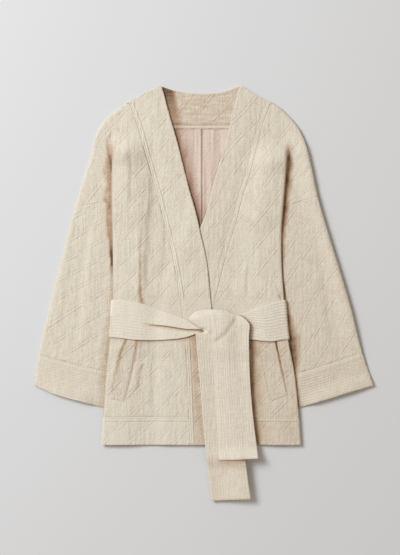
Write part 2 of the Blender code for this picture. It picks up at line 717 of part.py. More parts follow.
def add_neck():
    """The back stretch of the neckband, its facing, the piping and the lining."""
    low_y, high_y = NECK_SEAM_Y + SEAM, NECK_CORNER_Y
    up = along(low_y, high_y, 10 * MM)
    left, right = points(LEFT.outline_x(up), up), points(RIGHT.outline_x(up), up)
    x = along(right[-1][0], left[-1][0], 20 * MM)
    top = points(x, neck_top_y(x))[::-1]
    under = points(along(right[0][0], left[0][0], 40 * MM), low_y)
    ring = outline_of(left, top[1:-1], right[::-1], under[1:-1])
    spread = mesh_points(ring.min(axis=0), ring.max(axis=0), PLAIN_STEP)
    add_cloth("neckband_back", plate(lambda x, y: 0 * x, WALL), ring, BAND, spread, spread)

    def on_back(x, y):
        return middle(x, y) - LAYER_GAP / 2 + CLEAR

    def strip(top_y, bottom_y, margin):
        rows = along(top_y, bottom_y, 18 * MM)
        near = points(front_left_x(rows) + margin, rows)
        far = points(front_right_x(rows) - margin, rows)
        return near, far

    x = along(front_right_x(FACING_TOP_Y) - 8 * MM, front_left_x(FACING_TOP_Y) + 8 * MM, 20 * MM)
    near, far = strip(FACING_TOP_Y, PIPING_TOP_Y + SEAM, 12 * MM)
    top = points(x, neck_top_y(x) - 2 * MM)[::-1]
    base = points(along(far[-1][0], near[-1][0], 30 * MM), PIPING_TOP_Y + SEAM)[::-1]
    ring = outline_of(near, base[1:-1], far[::-1], top[::-1][1:-1])
    spread = mesh_points(ring.min(axis=0), ring.max(axis=0), PLAIN_STEP)
    add_cloth("neck_facing", plate(on_back, LINING_WALL), ring, BAND, spread, spread)

    near, far = strip(PIPING_TOP_Y - SEAM, PIPING_BOTTOM_Y + SEAM, 12 * MM)
    sides = [points(along(a, b, 15 * MM), y) for a, b, y in (
        (near[-1][0], far[-1][0], PIPING_BOTTOM_Y + SEAM), (far[0][0], near[0][0], PIPING_TOP_Y - SEAM))]
    ring = outline_of(near, sides[0][1:-1], far[::-1], sides[1][1:-1])
    across = along(far[0][0] + 6 * MM, near[0][0] - 6 * MM, 15 * MM)
    crest = points(across, (PIPING_TOP_Y + PIPING_BOTTOM_Y) / 2)

    def round_top(x, y):
        half = (PIPING_TOP_Y - PIPING_BOTTOM_Y) / 2
        return 0.5 * MM * (1 - ((y - PIPING_BOTTOM_Y - half) / half) ** 2)

    add_cloth("lining_piping", plate(on_back, LINING_WALL, round_top), ring, PIPING, crest, ())

    rows = along(PIPING_BOTTOM_Y - SEAM, LINING_BOTTOM_Y, 18 * MM)
    near = points(np.maximum(front_left_x(rows), front_right_x(rows)) + 10 * MM, rows)
    far = points(np.minimum(front_right_x(rows), front_left_x(rows)) - 10 * MM, rows)
    across = points(along(far[0][0], near[0][0], 20 * MM), PIPING_BOTTOM_Y - SEAM)
    ring = outline_of(near, far[::-1], across[1:-1])
    spread = mesh_points(ring.min(axis=0), ring.max(axis=0), 18 * MM)
    add_cloth("back_lining", plate(on_back, LINING_WALL), ring, LINING, spread, spread)


def add_hems():
    table = (
        ("hem_band_front_right", RIGHT, seam_right_x, upper_front),
        ("hem_band_front_left", LEFT, seam_left_x, lower_front),
    )
    for name, side, seam_x, base in table:
        def edge(y):
            return side.start(y) + TURN_LENGTH / 2

        down = along(HEM_SEAM_Y - SEAM, HEM_Y, 20 * MM)
        outside = signed(side, edge(down), down)
        inside = points(seam_x(down) + side.sign * SEAM, down)
        low = points(along(outside[-1][0], inside[-1][0], 24 * MM), HEM_Y)
        high = points(along(inside[0][0], outside[0][0], 24 * MM), HEM_SEAM_Y - SEAM)
        ring = outline_of(outside, low[1:-1], inside[::-1], high[1:-1])
        spread = mesh_points(ring.min(axis=0), ring.max(axis=0), PLAIN_STEP)
        place = front_place(side, base, "front_right", lambda u, y: 0 * u)
        turn = signed(side, side.start(down[1:-1]), down[1:-1])
        add_cloth(name, place, ring, BAND, np.vstack([spread, turn]), np.vstack([spread, turn]))
    down = along(HEM_SEAM_Y - SEAM, HEM_Y, 20 * MM)
    left, right = signed(LEFT, LEFT.start(down), down), signed(RIGHT, RIGHT.start(down), down)
    low = points(along(left[-1][0], right[-1][0], 40 * MM), HEM_Y)
    high = points(along(right[0][0], left[0][0], 40 * MM), HEM_SEAM_Y - SEAM)
    ring = outline_of(left, low[1:-1], right[::-1], high[1:-1])
    spread = mesh_points(ring.min(axis=0), ring.max(axis=0), PLAIN_STEP)

    def place(u, y):
        inner, outer = back_place(u, y)
        return outer, inner

    add_cloth("hem_band_back", place, ring, BAND, spread, spread)


def tube_tip(side, y):
    """Distance out at which a flat tube starts to turn round its outline."""
    return side.outline(y) - LAYER_GAP / 2 - WALL


def tube_end(side, level, inside):
    """One open end of a tube unrolled: from its inner edge out on top, round, and back below."""
    half = (LAYER_GAP + WALL) * np.pi / 2
    tip = side.outline(CUFF_TOP_Y)
    for _ in range(8):
        tip = float(tube_tip(side, level(tip)))
    out = along(inside, tip, 9 * MM)
    turn = tip + half * np.arange(1, 4) / 3
    back = along(tip, inside, 9 * MM)[1:]
    p = np.concatenate([out, turn, 2 * tube_tip(side, level(back)) + half - back])
    return signed(side, p, level(np.concatenate([out, 0 * turn + tip, back])))


def sleeve_inside(side, y):
    return side.edge(y) - TUCK


def add_sleeves():
    for name, side in (("sleeve_right", RIGHT), ("sleeve_left", LEFT)):
        def top_y(out, side=side):
            return side.arm_y(out) - ARM_SEAM

        def bottom_y(out, side=side):
            return side.cuff_seam_y(out) + SEAM

        def cuff_top(out, side=side):
            return side.cuff_seam_y(out) - SEAM

        inside = [float(sleeve_inside(side, y)) for y in (side.underarm, CUFF_TOP_Y, CUFF_BOTTOM_Y)]
        add_tube(name, side, SHELL, top_y, bottom_y, inside[:2], True)
        cuff = name.replace("sleeve", "cuff")
        add_tube(cuff, side, BAND, cuff_top, side.cuff_end_y, inside[1:], False)


def add_tube(name, side, colour, top_y, bottom_y, inside, quilted):
    top, bottom = tube_end(side, top_y, inside[0]), tube_end(side, bottom_y, inside[1])
    half = (LAYER_GAP + WALL) * np.pi / 2
    first, last = float(top[0][1]), float(bottom[0][1])
    rows = along(first, last, 24 * MM)[1:-1]
    inner_x = np.interp(rows, [last, first], [inside[1], inside[0]])
    near = signed(side, inner_x, rows)
    tip = tube_tip(side, rows)
    far = signed(side, 2 * tip + half - inner_x, rows)
    ring = outline_of(top, far, bottom[::-1], near[::-1])
    low, high = ring.min(axis=0), ring.max(axis=0)

    def tip_at(y):
        return tube_tip(side, y)

    def seen(u, y):
        p = side.sign * u
        across = rise(p - side.edge(y), 6 * MM, 16 * MM) * rise(tip_at(y) - p, 0, 12 * MM)
        ends = rise(side.arm_y(p) - y, 0, 8 * MM) * rise(y - side.cuff_seam_y(p), 0, 8 * MM)
        return across * ends if quilted else across

    def relief(u, y):
        if quilted:
            return PUFF * quilt_height(name, u, y) * seen(u, y)
        depth = (side.cuff_seam_y(side.sign * u) - y) / RIB_PITCH
        return RIB * (0.5 - 0.5 * np.cos(2 * np.pi * depth)) * seen(u, y)

    plain = mesh_points(low, high, PLAIN_STEP)
    if quilted:
        outer = where_seen(seen, quilt_points(name, low, high), plain)
    else:
        out = along(float(side.edge(CUFF_TOP_Y)) - 10 * MM, float(tip_at(CUFF_TOP_Y)), 22 * MM)
        rows = np.arange(1, CUFF_ROWS) * RIB_PITCH / 2
        outer = np.vstack([signed(side, out, side.cuff_seam_y(out) - row) for row in rows] + [
            plain[side.sign * plain[:, 0] > tip_at(plain[:, 1]) + half + 8 * MM]])
    y = along(high[1], low[1], 22 * MM)
    lines = []
    for k in range(4):
        run = signed(side, tip_at(y) + half * k / 3, y)
        lines.append(run[within(run, ring) & (edge_distance(run, ring) > 3 * MM)])
    add_cloth(name, tube_place(side, relief), ring, colour, outer, plain, lines)


def add_welts():
    table = (
        ("pocket_welt_right", WELT_RIGHT, upper_front),
        ("pocket_welt_left", WELT_LEFT, lower_front),
    )
    for name, corners, base in table:
        ring = np.array(corners, float) * MM
        halves = (ring + np.roll(ring, -1, axis=0)) / 2
        ring = np.column_stack([ring, halves]).reshape(-1, 2)
        spread = mesh_points(ring.min(axis=0), ring.max(axis=0), 14 * MM)
        bottom = plate(lambda x, y, base=base: base(x, y) + WALL + PUFF + 3 * CLEAR, WELT_WALL)
        add_cloth(name, bottom, ring, SHELL, spread, spread)


def add_belt():
    """The stretch across each front, round the body's edge, and the stretch behind the back."""
    table = (
        ("belt_right", RIGHT, BELT_STRETCH_RIGHT, upper_front),
        ("belt_left", LEFT, BELT_STRETCH_LEFT, lower_front),
    )
    for name, side, rows, base in table:
        top_y, bottom_y = curve(rows, 1), curve(rows, 2)

        def level(out, share, top_y=top_y, bottom_y=bottom_y):
            return top_y(out) + (bottom_y(out) - top_y(out)) * share

        def ribs(out, y, top_y=top_y, bottom_y=bottom_y):
            share = (top_y(out) - y) / np.maximum(top_y(out) - bottom_y(out), 5 * MM)
            return RIB * (0.5 - 0.5 * np.cos(2 * np.pi * np.clip(share, 0, 1) * BELT_RIBS))

        edge = float(side.start(BELT_BACK_TOP_Y))
        flat = along(rows[0][0] * MM + 2 * MM, edge - 8 * MM, 24 * MM)
        turn = np.linspace(0, np.pi, 7) * BELT_AROUND

        def run(share, edge=edge, flat=flat, turn=turn, level=level, side=side):
            y = np.concatenate([level(flat, share), level(np.full_like(turn, edge), share)])
            q = np.concatenate([flat - side.start(level(flat, share)), turn])
            return signed(side, q, y)

        shares = np.linspace(0, 1, 2 * BELT_RIBS + 1)
        rim = [run(share) for share in shares]
        ring = outline_of(rim[0], np.array([r[-1] for r in rim[1:-1]]), rim[-1][::-1],
                          np.array([r[0] for r in rim[-2:0:-1]]))
        inner = np.vstack([run(share)[1:len(flat)] for share in (0.2, 0.4, 0.6, 0.8)])
        outer = np.vstack([r[1:len(flat)] for r in rim[1:-1]])
        down = level(np.full(8, edge), np.linspace(0.1, 0.9, 8))
        lines = [signed(side, np.full(8, q), down) for q in turn[:-1]]
        add_cloth(name, belt_place(side, base, ribs), ring, BELT, outer, inner, lines)

    def belt_bottom(x, y):
        return middle(x, y) - TIP - BELT_CLEAR - BELT_WALL

    down = along(BELT_BACK_TOP_Y, BELT_BACK_BOTTOM_Y, 28 * MM)
    left = signed(LEFT, LEFT.start(down) - CLEAR, down)
    right = signed(RIGHT, RIGHT.start(down) - CLEAR, down)
    high = points(along(right[0][0], left[0][0], 36 * MM), BELT_BACK_TOP_Y)
    low = points(along(left[-1][0], right[-1][0], 36 * MM), BELT_BACK_BOTTOM_Y)
    ring = outline_of(left, low[1:-1], right[::-1], high[1:-1])
    spread = mesh_points(ring.min(axis=0), ring.max(axis=0), PLAIN_STEP)
    add_cloth("belt_back", plate(belt_bottom, BELT_WALL), ring, BELT, spread, spread)


def add_tails():
    """The lower tail, the knot, and the upper tail, which comes over the knot and lies on both."""
    low_left, low_right = curve(TAIL_LOWER, 1), curve(TAIL_LOWER, 2)
    up_left, up_right = curve(TAIL_UPPER, 1), curve(TAIL_UPPER, 2)
    corners = np.array(KNOT_OUTLINE, float) * MM
    halves = (corners + np.roll(corners, -1, axis=0)) / 2
    knot_ring = np.column_stack([corners, halves]).reshape(-1, 2)

    def lower_base(x, y):
        on_coat = rise(y, HEM_Y - SLOPE - BRIDGE, HEM_Y - BRIDGE)
        from_knot = (BELT_WALL + RIB + 3 * CLEAR) * covers(y - TAIL_DOWN_Y)
        return (front_top(x, y) + 3 * CLEAR) * on_coat + from_knot

    def knot_base(x, y):
        return front_top(x, y) + BELT_WALL + RIB + 4 * CLEAR

    def knot_top(x, y):
        place = np.column_stack([x, y])
        inside = np.where(within(place, knot_ring), edge_distance(place, knot_ring), 0)
        return KNOT_HEIGHT * np.sqrt(rise(inside, -2 * MM, 20 * MM))

    def upper_base(x, y):
        inside = np.minimum(np.minimum(x - low_left(y), low_right(y) - x), TAIL_LOWER_TOP_Y - y)
        on_tail = lower_base(x, y) + (BELT_WALL + RIB + 4 * CLEAR) * covers(inside)
        on_knot = knot_base(x, y) + WALL + knot_top(x, y) + 4 * CLEAR
        share = rise(y, KNOT_FOOT_Y - 26 * MM, KNOT_FOOT_Y)
        return on_tail + (np.maximum(on_knot, on_tail) - on_tail) * share

    table = (
        ("belt_tail_lower", low_left, low_right, lower_base, along(TAIL_LOWER_TOP_Y, -455 * MM, 30 * MM)),
        ("belt_tail_upper", up_left, up_right, upper_base,
         np.concatenate([along(-42 * MM, -114 * MM, 7 * MM), along(-114 * MM, -365 * MM, 32 * MM)[1:]])),
    )
    for name, left, right, base, y in table:
        def line(share, left=left, right=right, y=y):
            return points(left(y) + (right(y) - left(y)) * share, y)

        def ribs(x, y, left=left, right=right):
            share = np.clip((x - left(y)) / (right(y) - left(y)), 0, 1)
            return RIB * (0.5 - 0.5 * np.cos(2 * np.pi * share * BELT_RIBS))

        rim = [line(share) for share in np.linspace(0, 1, 2 * BELT_RIBS + 1)]
        ring = outline_of(rim[0], np.array([r[-1] for r in rim[1:-1]]), rim[-1][::-1],
                          np.array([r[0] for r in rim[-2:0:-1]]))
        inner = np.vstack([line(share)[1:-1] for share in np.arange(1, 7) / 7])
        outer = np.vstack([r[1:-1] for r in rim[1:-1]])
        add_cloth(name, plate(base, BELT_WALL, ribs), ring, BELT, outer, inner)

    spread = mesh_points(knot_ring.min(axis=0), knot_ring.max(axis=0), 7 * MM)
    wide = mesh_points(knot_ring.min(axis=0), knot_ring.max(axis=0), 20 * MM)
    add_cloth("belt_knot", plate(knot_base, WALL, knot_top), knot_ring, BELT, spread, wide)


def main():
    for obj in list(bpy.data.objects):
        bpy.data.objects.remove(obj)
    add_back()
    add_fronts()
    add_neckbands()
    add_neck()
    add_hems()
    add_sleeves()
    add_welts()
    add_belt()
    add_tails()


main()
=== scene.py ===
# The looks of the kimono coat, round the imported frame.
#
# Metres, in the frame of the CAD part: the coat lies on z = 0 and +Y points to the neck.
# Each piece of cloth is a fine wall that stands in for one node. Its outline is drawn in
# cloth coordinates (u, v), and a place function gives its lower and upper points, from the
# same tables as the solids. Quilting, crinkle, ribs, stitching and folds are raised in the
# shown points. One float attribute paints shade on the cloth (shadows of overlapping pieces,
# shade in creases, grooves and folds, and a little painted highlight on rolled seams) and
# darkens the stitched seams; the attribute "stitch" places the quilting.

import bpy
import numpy as np
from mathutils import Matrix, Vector
from mathutils.geometry import delaunay_2d_cdt


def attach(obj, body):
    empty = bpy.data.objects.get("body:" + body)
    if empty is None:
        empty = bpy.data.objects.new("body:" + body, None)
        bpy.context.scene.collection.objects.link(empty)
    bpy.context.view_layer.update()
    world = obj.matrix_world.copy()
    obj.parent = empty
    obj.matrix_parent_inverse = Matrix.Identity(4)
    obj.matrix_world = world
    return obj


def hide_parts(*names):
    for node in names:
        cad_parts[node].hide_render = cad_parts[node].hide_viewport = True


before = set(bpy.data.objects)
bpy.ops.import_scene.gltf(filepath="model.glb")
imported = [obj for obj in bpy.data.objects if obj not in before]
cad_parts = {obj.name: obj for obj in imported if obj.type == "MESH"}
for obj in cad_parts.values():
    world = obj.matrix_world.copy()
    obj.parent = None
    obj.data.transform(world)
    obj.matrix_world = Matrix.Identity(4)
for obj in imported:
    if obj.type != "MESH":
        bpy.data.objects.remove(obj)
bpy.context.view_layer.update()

MM = 0.001

# Cloth
WALL = 2.0 * MM  # quilted cotton of the panels and sleeves
BAND_WALL = 2.4 * MM  # doubled cloth of the neckband, hem and cuffs
LINING_WALL = 1.2 * MM
BELT_WALL = 2.0 * MM
WELT_WALL = 0.3 * MM  # of the part of a welt that stands above the front
LAYER_GAP = 0.6 * MM  # between the front and the back layer of a flat tube
CLEAR = 0.3 * MM  # between pieces that touch
SEAM = 0.15 * MM  # half of the gap at a seam
ARM_SEAM = 0.12 * MM  # the same at the curved armhole
RIB = 0.5 * MM
LEAST_SHEET = 20 * MM  # the area is worked out only for a piece wider and longer than this

# The pleat where each sleeve is laid down beside the body
TURN_STEPS = 6  # facets of a half turn
TIP = WALL + LAYER_GAP / 2  # half the thickness of two layers
TURN = TIP + SEAM  # radius of the middle line in a turn
TURN_LENGTH = np.pi * TURN
TUBE_TURN = (LAYER_GAP + WALL) * np.pi / 2  # length of the turn at the outer edge of a tube
EDGE_TURN = TUBE_TURN / 2
PLEAT_DEPTH = 20 * MM  # at the underarm
BELT_CLEAR = 0.5 * MM
BELT_AROUND = TIP + BELT_CLEAR + BELT_WALL / 2  # radius of the belt round the body's edge
FLAT_MID = TIP  # height of the line between the layers where the coat lies on the floor
OVER_SLEEVE = 2 * TIP + 3 * CLEAR + TIP  # the same line where the body lies on a sleeve
PLEAT_OPENING = 90 * MM  # over which the pleat goes from flat to fully folded
UNDERARM_SLOPE = 70 * MM  # over which the body comes down below the underarm
FOLD_END = 3.5 * MM  # from the end of a crease line to the armhole seam
TUCK = 30 * MM  # how far a sleeve reaches in under the body
LEAST_FOLD = 0.004  # the pleat is never quite flat, so its radius stays finite

# How cloth bridges from a piece below it down to the next one
BRIDGE = 20 * MM
SLOPE = 34 * MM
INSIDE_LIFT = 2.0 * MM  # facing and lining under the front edges
AIR = 1.2 * MM  # loose cloth between the front and the back, away from the side edges
OVERLAP_LIFT = BAND_WALL + 0.4 * MM  # one front over the other
KNOT_HEIGHT = 6.0 * MM

# Levels across the coat
NECK_SEAM_Y = 411 * MM
NECK_CORNER_Y = 455 * MM
FACING_TOP_Y = 430 * MM
HEM_SEAM_Y = -273 * MM
HEM_Y = -335 * MM
PIPING_TOP_Y = 369 * MM
PIPING_BOTTOM_Y = 361 * MM
LINING_BOTTOM_Y = 125 * MM
LINING_MARGIN = 14 * MM
OVERLAP_TOP_Y = 165 * MM  # where one front begins to lie over the other
CUFF_TOP_Y = -180 * MM  # of each cuff, where it meets the side of the body
CUFF_BOTTOM_Y = -255 * MM
BELT_BACK_TOP_Y = -16 * MM
BELT_BACK_BOTTOM_Y = -99 * MM
KNOT_FOOT_Y = -86 * MM
TAIL_DOWN_Y = -104 * MM  # where the tails come down off the belt
TAIL_LOWER_TOP_Y = -89 * MM

# Spacing of points
EDGE_STEP = 4 * MM  # along the outlines
FINE = 2.4 * MM  # on the shown surfaces
FINER = 1.7 * MM  # on the facing and the lining
COARSE = 9 * MM  # on the hidden ones
BESIDE_SEAM = np.arange(1, 15) * 0.9 * MM  # of the finest rows, from a seam

# Stitching, quilting and ribs. Those without MM are plain numbers of millimetres.
STITCH_PITCH = 36 * MM  # between pairs of stitched lines
PAIR = 6.4 * MM  # between the two lines of a pair
GROOVE = 1.5 * MM  # half width of a stitched line
SINK = 0.5 * MM  # the cloth between the stitched lines stands this far above its wall
PUFFED = 0.32 * MM  # rise of a diamond between the lines
CRINKLE = 0.46 * MM
STITCH_RELIEF = 0.30  # depth of a stitched line, and height of the ridge in a pair, in the grain
STITCH_DARK = 0.21
TAIL_RIBS = 15
STRETCH_RIBS = 13
CUFF_PITCH = 5.8 * MM
TOPSTITCH = 9.5  # from a seam to its second line of stitches
CRESTS = ((2.4, 1.3), (7.6, 1.3))  # the two rolls between those lines, which carry a painted highlight: place and width

# Quilting: the slope of each direction of stitched lines, in degrees.
QUILT_ANGLES = {
    "front_right": (47, -47),
    "front_left": (52, -40),
    "sleeve_right": (30, -55),
    "sleeve_left": (57, -32),
}

# All tables are in millimetres.

# The top fold behind the neck. Columns: x, y.
NECK_TOP = [(-94, 456), (-63, 446), (-8, 439), (47, 444), (80, 456)]

# Belt. Columns: distance out from the middle, top y, bottom y.
BELT_STRETCHES = {
    "right": [(-1, -82, -84), (8, -77, -87), (36, -60, -97), (91, -40, -104), (146, -21, -104),
              (200, -16, -98), (230, -16, -98)],
    "left": [(78, -49, -100), (104, -39, -103), (129, -29, -106), (150, -22, -107),
             (173, -16, -103), (200, -16, -98)],
}

# Tails of the belt. Columns: y, left x, right x.
TAIL_UPPER = [(-42, 12, 54), (-46, 12, 69), (-51, 13, 82), (-59, 14, 93), (-66, 15, 99), (-73, 16, 101),
              (-84, 17, 100), (-137, 20, 100), (-192, 23, 102), (-247, 26, 106), (-302, 29, 112),
              (-344, 31, 117), (-365, 32, 119)]
TAIL_LOWER = [(-90, -18, 64), (-203, -8, 74), (-335, 3, 88), (-455, 17, 103)]
KNOT_OUTLINE = [(-33, -60), (-29, -49), (-16, -39), (12, -36), (43, -38), (66, -46), (86, -58), (94, -70),
                (94, -88), (60, -92), (20, -100), (-2, -100), (-6, -88), (-2, -82), (-17, -71)]

# Pocket welts, the corners from the top outer one round. Columns: x, y.
WELTS = {
    "right": [(-172, -111), (-190, -152), (-205, -232), (-176, -240), (-162, -192), (-148, -111)],
    "left": [(157, -112), (170, -170), (184, -226), (149, -237), (134, -170), (122, -112)],
}

# Soft folds. Columns: x, y. Each has a width, a height, and the side that rises.
FOLDS = {
    "front_right": [
        ([(-124, 285), (-123, 200), (-133, 156), (-131, 101), (-137, 70), (-135, -18)], 24, 2.0, -1),
        ([(-175, 330), (-168, 262), (-171, 190)], 20, 1.4, -1),
        ([(-95, 180), (-92, 110), (-97, 40)], 16, 1.0, -1),
        ([(-134, -148), (-143, -175), (-147, -203), (-158, -219)], 9, 1.2, -1),
        ([(-149, -217), (-160, -226)], 6, 1.0, 1),
        ([(-120, -140), (-118, -200), (-124, -255)], 15, 0.9, -1),
    ],
    "front_left": [
        ([(91, 68), (89, 20), (88, -31)], 14, 1.1, -1),
        ([(166, 6), (169, -10)], 6, 1.2, -1),
        ([(128, 290), (118, 200), (122, 120)], 18, 0.9, 1),
        ([(183, -225), (148, -237)], 3.5, 0.8, 1),
        ([(135, -150), (138, -220)], 15, 0.8, 1),
    ],
    "sleeve_right": [
        ([(-235, 170), (-252, 60), (-262, -60), (-272, -140)], 26, 1.5, 1),
        ([(-290, 120), (-312, 10), (-325, -90)], 20, 1.0, -1),
    ],
    "sleeve_left": [
        ([(223, 186), (248, 60), (262, -60), (280, -140)], 26, 1.3, -1),
        ([(262, 150), (292, 30), (310, -80)], 18, 1.0, 1),
    ],
}

# Sharp creases of the fronts. Columns: x, y. Each has a width, and how dark the painted shade in it is.
CREASES = [
    ([(-171, -104), (-182, -130), (-191, -166), (-200, -203), (-202, -230)], 3.2, 1.35),
    ([(-147, -104), (-149, -141), (-160, -174), (-167, -203), (-175, -236)], 3.8, 0.95),
    ([(-134, -159), (-147, -181), (-145, -203), (-153, -218), (-166, -240)], 4.2, 0.42),
    ([(158, -106), (163, -130), (173, -174), (184, -224)], 1.9, 2.3),
    ([(183, -223), (157, -240)], 1.6, 0.25),
    ([(-136, -24), (-138, 2), (-141, 30)], 4.4, 1.3),
    ([(-137, -24), (-139, 30), (-139, 90), (-137, 150)], 2.6, 0.95),
    ([(169, -16), (162, 10)], 2.2, 1.2),
]

# Painted shade on the cloth beside the body's edges. Columns: y, width, depth in hundredths.
SHADES = {
    "right": [(350, 9, 0), (325, 16, 55), (300, 20, 88), (262, 24, 82), (204, 23, 90), (160, 19, 95),
              (116, 13, 115), (67, 8, 190), (48, 9, 80), (-16, 18, 45), (-100, 22, 50), (-180, 22, 50),
              (-260, 18, 45)],
    "left": [(364, 4, 0), (350, 8, 95), (325, 13, 140), (281, 18, 145), (204, 17, 150), (149, 13, 145),
             (116, 11, 135), (-16, 9, 150), (-42, 14, 150), (-66, 23, 150), (-93, 29, 165), (-126, 27, 165),
             (-152, 17, 160), (-174, 10, 140), (-260, 9, 140)],
}
# Lines of deeper painted shade in the creases beside the right edge. Columns: x, y.
SHADE_CREASES = [
    [(-202, 354), (-213, 336), (-212, 316), (-206, 292), (-203, 264)],
    [(-218, 208), (-211, 191), (-213, 167), (-210, 140), (-206, 100), (-203, 62)],
]

# Creases of the belt, across the stretch, and of the tail that comes over the knot.
BELT_CREASE = [(-134, -66), (-118, -70), (-85, -73), (-63, -76.5), (-37, -80.5), (-2, -81)]
KNOT_CREASE = [(72, -46), (68, -62), (46, -92), (18, -113)]

# Finishes. Of each: its own colour, the colour of its darker threads and of its painted shade,
# and how rough its grain is.
SHELL_LIT = (0.742, 0.691, 0.574)
SHELL_WEAVE_AND_SHADE = (0.505, 0.360, 0.238)
LINING_WEAVE_AND_SHADE = (0.43, 0.275, 0.20)
DEEPEST_PAINTED_SHADE = (0.165, 0.092, 0.056)  # the deepest painted shade, in creases and beside edges that lie over the cloth
FINISHES = {
    "shell": (SHELL_LIT, SHELL_WEAVE_AND_SHADE, 1.0),
    "band": (SHELL_LIT, SHELL_WEAVE_AND_SHADE, 1.0),
    "belt": ((0.786, 0.741, 0.626), SHELL_WEAVE_AND_SHADE, 0.7),
    "lining": ((0.725, 0.606, 0.515), LINING_WEAVE_AND_SHADE, 0.45),
    "piping": ((0.745, 0.640, 0.545), LINING_WEAVE_AND_SHADE, 0.3),
}
MIX_A, MIX_B, MIX_RESULT = 6, 7, 2  # places of the colour sockets of a Mix node

# Floor, light and camera
FLOOR = (0.705, 0.718, 0.722)
FLOOR_REACH = 6.0
KEY_PLACE = (-3.0, 1.9, 3.6)
KEY_SIZE = 2.1
KEY_POWER = 206
KEY_COLOUR = (0.955, 1.005, 1.09)
WORLD_LIGHT = 0.43
WORLD_COLOUR = (1.0, 0.87, 0.74, 1)
CAMERA_HEIGHT = 3.2
SENSOR = 36
VIEW_HEIGHT = 555 * 2.2 * MM  # the height of the photograph, at 2.2 mm a pixel
VIEW_CENTRE = (-8.25 * MM, 33.5 * MM)


# Small functions

def curve(rows, column=1):
    """A smooth function through one column of a table, from the first column, in metres."""
    table = np.array(sorted(rows), float) * MM
    at, value = table[:, 0], table[:, column]
    slope = np.gradient(value, at)

    def read(place):
        place = np.clip(np.asarray(place, float), at[0], at[-1])
        i = np.clip(np.searchsorted(at, place, side="right") - 1, 0, len(at) - 2)
        step = at[i + 1] - at[i]
        t = (place - at[i]) / step
        return (value[i] * (1 + 2 * t) * (1 - t) ** 2 + value[i + 1] * t ** 2 * (3 - 2 * t)
                + step * (slope[i] * t * (1 - t) ** 2 - slope[i + 1] * t ** 2 * (1 - t)))

    return read


def rise(value, low, high):
    """0 at low, 1 at high, smooth between them."""
    t = np.clip((value - low) / (high - low), 0, 1)
    return t * t * (3 - 2 * t)


def ramp(value, low, high):
    """rise between two places in millimetres."""
    return rise(value, low * MM, high * MM)


def bell(value, width):
    """1 at 0, falling softly to both sides."""
    return np.exp(-((value / width) ** 2))


def line_at(away, at, width=1.1):
    """A soft line, its place and width in millimetres."""
    return bell(away - at * MM, width * MM)


def lines_at(away, *rows):
    return sum(line_at(away, *row) for row in rows)


def ridge(away, low, high, soft=1.1):
    """1 between two distances in millimetres, falling softly outside them."""
    return ramp(away, low - soft, low + soft) * (1 - ramp(away, high - soft, high + soft))


def wave(turns):
    """From 0 to 1 and back in each turn."""
    return 0.5 - 0.5 * np.cos(2 * np.pi * turns)


def covers(inside):
    """1 over a piece below and for a bridge round it, then 0; inside is the distance in from its edge."""
    return rise(inside, -BRIDGE - SLOPE, -BRIDGE)


def along(first, last, step=EDGE_STEP):
    """Evenly spaced values from first to last, about step apart."""
    return np.linspace(first, last, max(2, int(round(abs(last - first) / step)) + 1))


def points(u, v):
    return np.column_stack(np.broadcast_arrays(u, v)).astype(float)


def signed(side, p, y):
    return points(side.sign * np.asarray(p), y)


def column(side, p_of, first, last):
    """A run of points down a line given as a function of y."""
    y = along(first, last)
    return signed(side, p_of(y), y)


# The two sides of the coat

